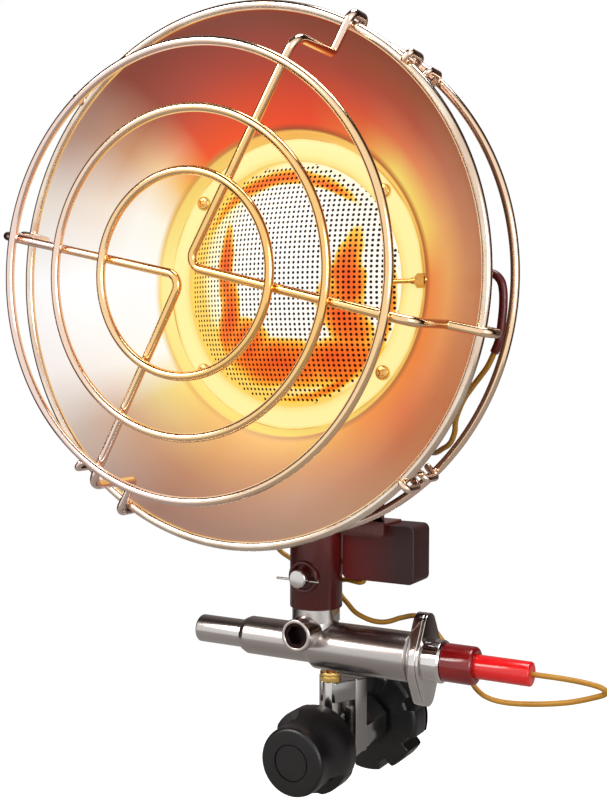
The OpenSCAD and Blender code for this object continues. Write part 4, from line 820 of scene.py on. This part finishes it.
# The tube with its boss for the plug, its pad under the post and its gas inlet
def valveShapes(v):
    left, right, small, large = v["left"], v["right"], v["smallRadius"], v["largeRadius"]
    tube = lathe([(left + 10, v["bore"]), (left, v["bore"]), (left, v["mouth"]),
                  (left + v["mouthLong"], small), (v["taper"][0], small), (v["taper"][1], large),
                  (right, large), (right, 9)],
                 120, False, "X", (0, v["y"], v["height"]), v["tubeSoft"])
    front, plug = v["bossFront"], v["plugRadius"]
    boss = lathe([(v["y"] - 2.5, v["bossRadius"]), (front, v["bossRadius"]), (front, plug),
                  (front + v["plugDeep"], plug)],
                 96, False, "Y", (0, 0, v["height"] + v["bossUp"]), [0, 0.8, 0.5, 0])
    top, end = v["padTop"], v["inletEnd"]
    pad = lathe([(v["height"] + 3, v["padRadius"]), (top, v["padRadius"]), (top, 4.5)],
                96, False, "Z", (0, v["y"], 0), [0, 0.4, 0])
    inlet = lathe([(v["y"] + 6, v["inletRadius"]), (end, v["inletRadius"]), (end, 2.6)],
                  48, False, "Y", (v["inletX"], 0, v["inletZ"]), [0, 0.5, 0])
    return [tube, boss + (1,), pad, inlet]


# The return spring: a coil swept round the rod's axis, with a mesh of its own
def makeRodSpring(v):
    start, end = v["springReach"]
    wire, steps = v["springWire"], v["springTurns"] * 24
    coil = [(start + (end - start) * k / steps, v["y"] + v["springRadius"] * cos(k * pi / 12),
             v["height"] + v["springRadius"] * sin(k * pi / 12)) for k in range(steps + 1)]
    spring = makePiece("rodSpring", [sweep(coil, wire, 10)], [springFinish], ["rod_spring"])
    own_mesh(spring)


def makeValve(v):
    centre = (0, v["y"], v["height"])
    makePiece("valveTube", valveShapes(v), [valveFinish, bossFinish], ["valve_body"])
    tip, tail, stem, radius = v["rodTip"], v["rodTail"], v["stemRadius"], v["rodRadius"]
    rod = lathe([(tip, 0.05), (tip, radius), (tail, radius), (tail, stem), (v["stemEnd"], stem),
                 (v["stemEnd"], 0.05)], 96, False, "X", centre, v["rodSoft"])
    makePiece("pushRod", [rod], [rodFinish], ["push_rod"], "push_rod_body")
    makeRodSpring(v)
    x, end, radius, bore = v["unionX"], v["unionX"] + v["unionLong"], v["unionRadius"], v["unionBore"]
    near, far = v["unionNear"], v["unionFar"]
    union = lathe([(x, bore), (x, radius - near[1]), (x + near[0], radius), (end - far[0], radius),
                   (end, radius - far[1]), (end, bore)], 96, True, "X", centre, v["unionSoft"])
    makePiece("unionCollar", [union], [chromeFinish], ["union_collar"])
    red = lathe(ringProfile(v["redX"], v["redX"] + v["redLong"], v["redBore"], v["redRadius"]),
                96, True, "X", centre, v["redSoft"])
    makePiece("terminalCollar", [red], [terminalFinish], ["terminal_collar"])
    x, end, radius, hole = v["sleeveX"], v["sleeveEnd"], v["sleeveRadius"], v["sleeveHole"]
    sleeve = lathe([(x, 0.05), (x, radius), (end, radius), (end, hole), (end - v["sleeveDeep"], hole)],
                   96, False, "X", centre, v["sleeveSoft"])
    makePiece("terminalSleeve", [sleeve], [sleeveRedFinish], ["terminal_sleeve"])


makeValve(valve)


# Outline of a middle circle and two end circles joined by their tangents
def ovalOutline(height, width, endRadius, steps=12):
    half = height / 2 - endRadius
    lean = degrees(asin((width / 2 - endRadius) / half))
    arcs = [((0, half), endRadius, lean, 180 - lean, steps), ((0, 0), width / 2, 180 - lean, 180 + lean, 8),
            ((0, -half), endRadius, 180 + lean, 360 - lean, steps), ((0, 0), width / 2, -lean, lean, 8)]
    return [onCircle(r, a + (b - a) * i / n, centre) for centre, r, a, b, n in arcs for i in range(n + 1)]


def makeFlange(v):
    across, up = v["flangeShift"]
    outline = [(v["y"] + across + a, v["height"] + up + b) for a, b in ovalOutline(*v["flangeSize"])]
    x = v["flangeX"]
    split, end = x + v["flangeFront"], x + v["flangeThick"]
    plates = [slab(outline, x, split, "YZX", 0.5), slab(outline, split + 0.15, end, "YZX", 0.4)]
    makePiece("ovalFlange", plates, [chromeFinish], ["valve_flange"], sharp=40)


makeFlange(valve)

print("stage: regulator")

# The regulator's blocks are plans drawn up from low to high
regulator = {
    "slab": ([(-16, -61.05), (16, -61.05), (12.5, -69), (-12.5, -69)], -9.0, 35.3, 1.0),
    "arm": ([(-12.5, -68), (12.5, -68), (5, -82), (-5, -82)], 23.0, 35.3, 0.8),
    "chest": ([(-8, -90), (8, -90), (8, -74), (-8, -74)], -12.0, 16.0, 1.2),
    "riserY": -78.0, "riserRadius": 5.0, "riserLow": 14.0, "riserBore": 2.6, "top": 35.3,
    "neckReach": (-61.0, -33.0), "neckAcross": 31.0,
    "nutRadius": 6.2, "nutLong": 6.0, "nutGroove": 3.3, "nutSoft": [0.1, 0.4, 0.05, 0.05, 0.05, 0.7, 0.4],
    "pipe": [(0, -78, 27.3), (0, -78, 58), (16, -78, 58), (16, -88, 58)], "pipeBends": [0, 5.5, 3.2, 0],
    "pipeRadius": 2.5,
}


def makeRegulator(r):
    blocks = [slab(plan, low, high, "XYZ", edge)
              for plan, low, high, edge in (r["slab"], r["arm"], r["chest"])]
    top, bore, axis = r["top"], r["riserBore"], (0, r["riserY"], 0)
    riser = lathe([(r["riserLow"], r["riserRadius"]), (top - 0.05, r["riserRadius"]), (top - 0.05, bore)],
                  72, False, "Z", axis, [0, 0.5, 0])
    makePiece("regulatorBody", blocks + [riser + (1,)], [castFinish, riserFinish],
              ["regulator_body"], sharp=40)
    corner = r["neckAcross"] / 2 / cos(radians(22.5))
    neck = slab([onCircle(corner, 22.5 + 45 * k) for k in range(8)], *r["neckReach"], "XZY", 0.9)
    makePiece("inletNeck", [neck], [castFinish], ["inlet_neck"], sharp=40)
    wide, groove, end = r["nutRadius"], top + r["nutGroove"], top + r["nutLong"]
    nut = lathe([(top, bore), (top, wide), (groove - 0.2, wide), (groove, wide - 0.3), (groove + 0.2, wide),
                 (end, wide), (end, bore)], 72, True, "Z", axis, r["nutSoft"])
    makePiece("brassNut", [nut], [brassFinish], ["brass_nut"])
    pipe = sweep(softened(r["pipe"], r["pipeBends"], 10), r["pipeRadius"], 24, False)
    makePiece("supplyPipe", [pipe], [copperFinish], ["supply_pipe"])


makeRegulator(regulator)

print("stage: knob and hand wheel")

knob = {
    "front": -124.7, "step": -103.7, "back": -91.2, "hubRadius": 19.5, "skirtRadius": 24.75, "edge": 2.2,
    "capRadius": 10.0, "capDeep": 0.25, "groove": 0.9, "scoops": (130, 310), "scoopWidth": 52,
    "flareFrom": -119.0, "ridgeTurn": 9.0, "ridge": 0.55, "bore": (6.0, 5.5, 4.0),
}


def smoothStep(low, high, value):
    t = min(1, max(0, (value - low) / (high - low)))
    return t * t * (3 - 2 * t)


# Rows of (place along Y, radius) round the Y axis, with the radius changed by place and angle
def turnedRows(rows, steps, shaped):
    points = []
    for i in range(steps):
        turn = 360 * i / steps
        for row in rows:
            x, z = onCircle(shaped(row, turn), turn)
            points.append((x, row[0], z))
    return points, gridFaces(steps, len(rows), False)


# A hub that flares to the skirt, with two scoops for the fingers and a ridge in each
def makeKnob(k):
    front, back, hub, skirt, cap = k["front"], k["back"], k["hubRadius"], k["skirtRadius"], k["capRadius"]
    edge, low, groove = k["edge"], k["front"] + k["capDeep"], k["front"] + k["groove"]
    boreFront, boreBack, deep = k["bore"]
    rows = [(low, 0.05), (low, cap - 0.25), (groove, cap - 0.05), (groove, cap + 0.25), (front, cap + 0.55)]
    rim = (hub - edge, -front - edge)
    rows += [(-y, r) for r, y in (onCircle(edge, a, rim) for a in range(90, -1, -10))]
    rows += [(front + edge + (back - front - edge) * i / 60, None) for i in range(1, 60)]
    rows += [(back, skirt - 1.0), (back, boreFront), (back - deep, boreBack)]

    def shaped(row, turn):
        y, r = row
        if r is not None:
            return r
        off = min(abs((turn - s + 180) % 360 - 180) for s in k["scoops"])
        scoop = 1 - smoothStep(k["scoopWidth"] / 2 - 6, k["scoopWidth"] / 2 + 1, off)
        wing = hub + (skirt - 0.4 - hub) * smoothStep(k["flareFrom"], k["step"] + 6, y)
        dip = hub + 0.2 + (skirt - hub - 0.2) * smoothStep(k["step"] - 0.7, k["step"] + 0.7, y)
        r = wing * (1 - scoop) + dip * scoop
        if y < k["step"]:
            ridge = k["ridge"] * max(0, 1 - abs(off - k["ridgeTurn"]) / 2.2) * scoop
            r += ridge * smoothStep(k["flareFrom"], k["flareFrom"] + 4, y)
        return min(r, skirt) - (0.6 if y > back - 0.9 else 0)

    makePiece("controlKnob", [turnedRows(rows, 240, shaped)], [gripFinish],
              ["control_knob", "knob_cap"], "knob_body", 48)


makeKnob(knob)

wheel = {
    "front": -32.7, "lobeFront": -29.7, "lobeBack": -8.7, "back": 0.0, "radius": 33.3, "edge": 2.6,
    "lobes": 8, "notch": 4.9, "valley": (0.31, 0.4), "hubRadius": 12.0, "bore": 7.1, "rearRadius": 25.4,
    "threadRadius": 16.7, "threadDeep": 0.9, "threadPitch": 2.6, "threads": 7, "seat": -23.7,
}


def makeWheel(w):
    front, back, hub, rear, thread = w["front"], w["back"], w["hubRadius"], w["rearRadius"], w["threadRadius"]
    low, high, outer, e = w["lobeFront"], w["lobeBack"], w["radius"], w["edge"]
    arc = [radians(a) for a in range(0, 91, 15)]
    rows = [(front, w["bore"], 0), (front, hub - 0.6, 0), (front + 0.6, hub, 0), (low, hub + 0.2, 0)]
    rows += [(low + e * (1 - cos(a)), outer - e * (1 - sin(a)), 1) for a in arc]
    rows += [(low + e + (high - low - 2 * e) * i / 6, outer, 1) for i in range(1, 6)]
    rows += [(high - e * (1 - sin(a)), outer - e * (1 - cos(a)), 1) for a in arc[::-1]]
    rows += [(high, rear, 0), (back - 1, rear, 0), (back, rear - 1, 0), (back, thread + 0.8, 0)]
    for i in range(w["threads"]):
        y = back - 0.8 - i * w["threadPitch"]
        rows += [(y, thread, 0), (y - w["threadPitch"] / 2, thread + w["threadDeep"], 0)]
    rows += [(w["seat"], thread, 0), (w["seat"], w["bore"], 0)]

    def shaped(row, turn):
        phase = (turn / (360 / w["lobes"]) + 0.5) % 1 - 0.5
        return row[1] - row[2] * w["notch"] * smoothStep(*w["valley"], abs(phase))

    makePiece("tankNut", [turnedRows(rows, 384, shaped)], [gripFinish], ["hand_wheel"],
              "wheel_body", 40)


makeWheel(wheel)

print("stage: tilt switch and bracket")

switch = {
    "x": (15.5, 60.0), "y": (-94.0, -72.0), "z": (100.0, 132.5), "corner": 3.5, "edge": 0.9,
    "coverInset": 2.1, "coverFrom": -75.5, "coverTo": -71.65, "coverCorner": 1.5,
    "sheet": 1.5, "bend": 1.8, "bracketX": (17.5, 45.0), "bracketY": -101.5, "bracketTop": 209.35,
    "bracketLow": 126.1, "lap": 6.0, "lapCorner": 2.6, "tabY": -112.85, "tabUp": 18.5, "lugY": -77.5,
}


def roundedOutline(a, b, c, d, radius, steps=8):
    a, b, c, d = a + radius, b - radius, c + radius, d - radius
    corners = [((b, d), 0), ((a, d), 90), ((a, c), 180), ((b, c), 270)]
    return [onCircle(radius, t + 90 * i / steps, corner) for corner, t in corners for i in range(steps + 1)]


# The bent strip seen from its side: lug, panel, shelf and tab
def bracketSide(s, low):
    half = s["sheet"] / 2
    panel, shelf, tab = s["bracketY"] + half, s["bracketTop"] - half, s["tabY"] + half
    corners = [(s["lugY"], low + half), (panel, low + half), (panel, shelf), (tab, shelf),
               (tab, s["bracketTop"] + s["tabUp"])]
    line = softened([(0, y, z) for y, z in corners], s["bend"], 6)
    left, right, last = [], [], len(line) - 1
    for i, p in enumerate(line):
        d = (line[min(i + 1, last)] - line[max(i - 1, 0)]).normalized()
        off = Vector((0, -d.z, d.y)) * half
        left.append((p + off)[1:])
        right.append((p - off)[1:])
    return left + right[::-1]


def makeSwitch(s):
    case = slab(roundedOutline(*s["x"], *s["z"], s["corner"]), *s["y"], "XZY", s["edge"], 4)
    makePiece("switchCase", [case], [caseFinish], ["switch_case"], sharp=40)
    (a, b), (c, d), inset = s["x"], s["z"], s["coverInset"]
    inner = roundedOutline(a + inset, b - inset, c + inset, d - inset, s["coverCorner"])
    cover = slab(inner, s["coverFrom"], s["coverTo"], "XZY", 0.4)
    makePiece("switchCover", [cover], [caseFinish], ["switch_cover"], sharp=40)
    low = d + 0.05
    strip = slab(bracketSide(s, low), *s["bracketX"], "YZX", 0.3, 2)
    flat = roundedOutline(*s["bracketX"], s["bracketLow"], low + s["lap"], s["lapCorner"], 5)
    panel = slab(flat, s["bracketY"], s["bracketY"] + s["sheet"], "XZY", 0.3, 2)
    makePiece("switchBracket", [strip, panel], [bracketFinish], ["switch_bracket"], sharp=40)


makeSwitch(switch)

print("stage: leads")

leads = {
    "radius": 1.46, "sleeveRadius": 2.15, "sleeveReach": (1, 10),
    "sensor": [(98.9, -130.4, 265), (105, -130.8, 265.6), (112, -131, 267), (118, -131, 267.2),
               (121.8, -131, 264), (123.2, -131, 259), (123.4, -131, 252), (122.8, -131, 244.5),
               (121.4, -131, 234.7), (118.8, -130.5, 228.5), (115.3, -130, 221.8), (111.3, -129.5, 216.6),
               (106.5, -128.5, 211), (101.5, -128, 204), (97.5, -127, 195), (96, -125, 188),
               (92, -121, 182), (85.5, -115, 178.5), (75, -104, 175), (60, -95, 178), (46, -88, 178),
               (36, -83, 170), (30, -79, 158), (26, -76, 146), (24, -75, 138), (24, -75, 132.9)],
    "cross": [(27, -89, 99.6), (26.6, -89, 98.4), (24, -88.7, 97.6), (19, -86.5, 97.5), (13, -83, 97.2),
              (6, -79.5, 95.5), (0, -79, 94.8), (-8, -79.5, 96), (-16, -79, 98), (-22, -76, 101),
              (-30, -75, 105), (-37, -75, 109), (-45, -78, 120), (-51, -86, 138), (-52, -95, 162),
              (-45, -101, 190), (-38, -103, 211), (-36, -106.5, 221), (-36, -112.5, 222)],
    "loop": [(122.65, -96, 61), (128.65, -96, 61), (146, -96, 61), (158, -95, 60), (164.65, -93, 58),
             (165.6, -91, 55), (160, -90, 52), (146, -89, 47), (129, -89, 43.5), (113, -88, 41.5),
             (102, -87, 42), (94, -84, 44.5), (86, -77, 49), (78, -70, 54), (68, -66, 62), (60, -68, 72),
             (55, -77, 79.5), (48, -83, 79), (42, -85, 76.8), (37, -85, 75.6), (31, -85, 75.6),
             (25, -85, 77), (18.5, -83.5, 79.2), (12, -80, 82.8), (6, -76.5, 86), (2, -74, 91),
             (3, -73, 97), (7, -74, 103), (11.5, -76.3, 106), (15.1, -77, 106.5)],
}


# Smooth curve through the points of a route
def curveThrough(points, steps=8):
    p = [Vector(q) for q in points]
    last, out = len(p) - 1, []
    for i in range(last):
        a, b, c, e = p[max(i - 1, 0)], p[i], p[i + 1], p[min(i + 2, last)]
        for k in range(steps):
            t = k / steps
            out.append(0.5 * (2 * b + (c - a) * t + (2 * a - 5 * b + 4 * c - e) * t * t
                              + (3 * b - a - 3 * c + e) * t * t * t))
    return out + [p[last]]


def makeLeads(w):
    for name in ("sensor", "cross", "loop"):
        lead = sweep(curveThrough(w[name]), w["radius"], 16, False)
        makePiece(name + "Lead", [lead], [leadFinish], [name + "_lead"])
    start, end = w["sleeveReach"]
    skin = sweep(curveThrough(w["sensor"][start:end]), w["sleeveRadius"], 20, False)
    makePiece("shrinkSleeve", [skin], [sleeveDarkFinish], ["sensor_sleeve"])


makeLeads(leads)

print("stage: carried over pieces")

screenFinish = finish("inner screen", "1c0803", "120502", 0.3, (0.6, 0.75))
carried = {
    "inner_screen": screenFinish, "plenum_gasket": gasketFinish, "plenum_baffle": hotSteelFinish,
    "elbow_screws": steelScrewFinish, "thermocouple": probeFinish, "thermocouple_nuts": probeFinish,
    "bracket_screws": bracketFinish, "switch_contacts": brassFinish, "tilt_ball": ballFinish,
    "gas_jet": brassFinish, "neck_collar": neckChromeFinish, "hex_plug": plugFinish,
    "valve_disc": rubberFinish, "magnet_unit": valveFinish, "pressure_diaphragm": rubberFinish,
    "pressure_spring": springFinish, "knob_spindle": brassFinish, "inlet_nipple": brassFinish,
    "nose_seal": rubberFinish,
}
for name, material in carried.items():
    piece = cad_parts[name]
    piece.data.materials.clear()
    piece.data.materials.append(material)

print("stage: floor and light")

studio = {
    "floorHeight": -0.17, "floorHalf": 1.0, "floorLift": 0.3, "whiteFrom": 0.3, "whiteTo": 0.9,
    "floorColours": ("f4f3f1", "f1f0ee"), "floorGlow": "8c8987",
    # light from the room by height, and what bright metal mirrors from behind to in front of it
    "world": 0.62,
    "sky": [(0.0, "3a2c28"), (0.4, "6a5c58"), (0.55, "c8c0bc"), (0.75, "ffffff"), (1.0, "ffffff")],
    "mirror": [(0.0, "8e8480"), (0.1, "5e5350"), (0.24, "1c110f"), (0.45, "32221e"), (0.58, "b4aaa6"),
               (0.68, "ffffff"), (1.0, "ffffff")],
    "front": (0.4, -0.91, 0.1), "steep": 0.3,
    "lamps": [("key", (-0.9, -1.5, 1.3), 1.1, 30, "fff6ee"), ("fill", (1.5, -1.1, 0.5), 0.9, 12, "ffffff"),
              ("top", (0.2, 0.1, 1.6), 0.9, 14, "ffffff")],
    "target": (0.0, -0.12, 0.2),
}


# To the eye the floor turns white away from the heater, so that no edge shows behind it
def floorFinish(s):
    material, tree, shader, place = begin("pale floor")
    seen = add(tree, "LightPath").outputs["Is Camera Ray"]
    base = blendColour(tree, noise(tree, place, 8, 2), *[tone(c) for c in s["floorColours"]])
    away = calcVector(tree, "LENGTH", place)
    far = add(tree, "MapRange", {0: away, 1: s["whiteFrom"], 2: s["whiteTo"], 3: 0.0, 4: 1.0},
              interpolation_type="SMOOTHSTEP").outputs[0]
    base = blendColour(tree, far, base, (0, 0, 0, 1))
    glow = calc(tree, "MULTIPLY", seen, spread(tree, far, 0, 1, s["floorLift"], 1.0))
    setInputs(tree, shader, {"Base Color": blendColour(tree, seen, tone(s["floorGlow"]), base),
                             "Emission Color": (1, 1, 1, 1), "Emission Strength": glow,
                             "Roughness": 0.9, "Specular IOR Level": 0.1})
    return material


def makeFloor(s):
    half, z = s["floorHalf"], s["floorHeight"]
    mesh = bpy.data.meshes.new("floor")
    corners = [(-half, -half, z), (half, -half, z), (half, half, z), (-half, half, z)]
    mesh.from_pydata(corners, [], [(0, 1, 2, 3)])
    mesh.materials.append(floorFinish(s))
    floor = addObject("floor", mesh)


def addLamps(s):
    for name, place, size, power, colour in s["lamps"]:
        lamp = bpy.data.lights.new(name, "AREA")
        lamp.shape, lamp.size, lamp.energy, lamp.color = "DISK", size, power, tone(colour)[:3]
        holder = addObject(name, lamp)
        holder.location = place
        aim = Vector(s["target"]) - Vector(place)
        holder.rotation_euler = aim.to_track_quat("-Z", "Y").to_euler()


def makeWorld(s):
    world = bpy.data.worlds.new("studio")
    bpy.context.scene.world = world
    world.use_nodes = True
    tree = world.node_tree
    way = add(tree, "TexCoord").outputs["Generated"]
    height = add(tree, "SeparateXYZ", {0: way}).outputs[2]
    front = calcVector(tree, "DOT_PRODUCT", way, s["front"])
    sky = ramp(tree, spread(tree, height, -1, 1, 0, 1), s["sky"])
    steep = calc(tree, "MULTIPLY", calc(tree, "MULTIPLY", height, height), s["steep"])
    facing = calc(tree, "SUBTRACT", calc(tree, "ADD", calc(tree, "MULTIPLY", front, 0.5), 0.5), steep)
    path = add(tree, "LightPath")
    seen, glossy = path.outputs["Is Camera Ray"], path.outputs["Is Glossy Ray"]
    sky = blendColour(tree, glossy, sky, ramp(tree, facing, s["mirror"]))
    strength = spread(tree, calc(tree, "MAXIMUM", seen, glossy), 0, 1, s["world"], 1.0)
    setInputs(tree, tree.nodes["Background"], {"Color": blendColour(tree, seen, sky, (1, 1, 1, 1)),
                                               "Strength": strength})


makeFloor(studio)
addLamps(studio)
makeWorld(studio)
bpy.context.scene.view_settings.view_transform = "Standard"
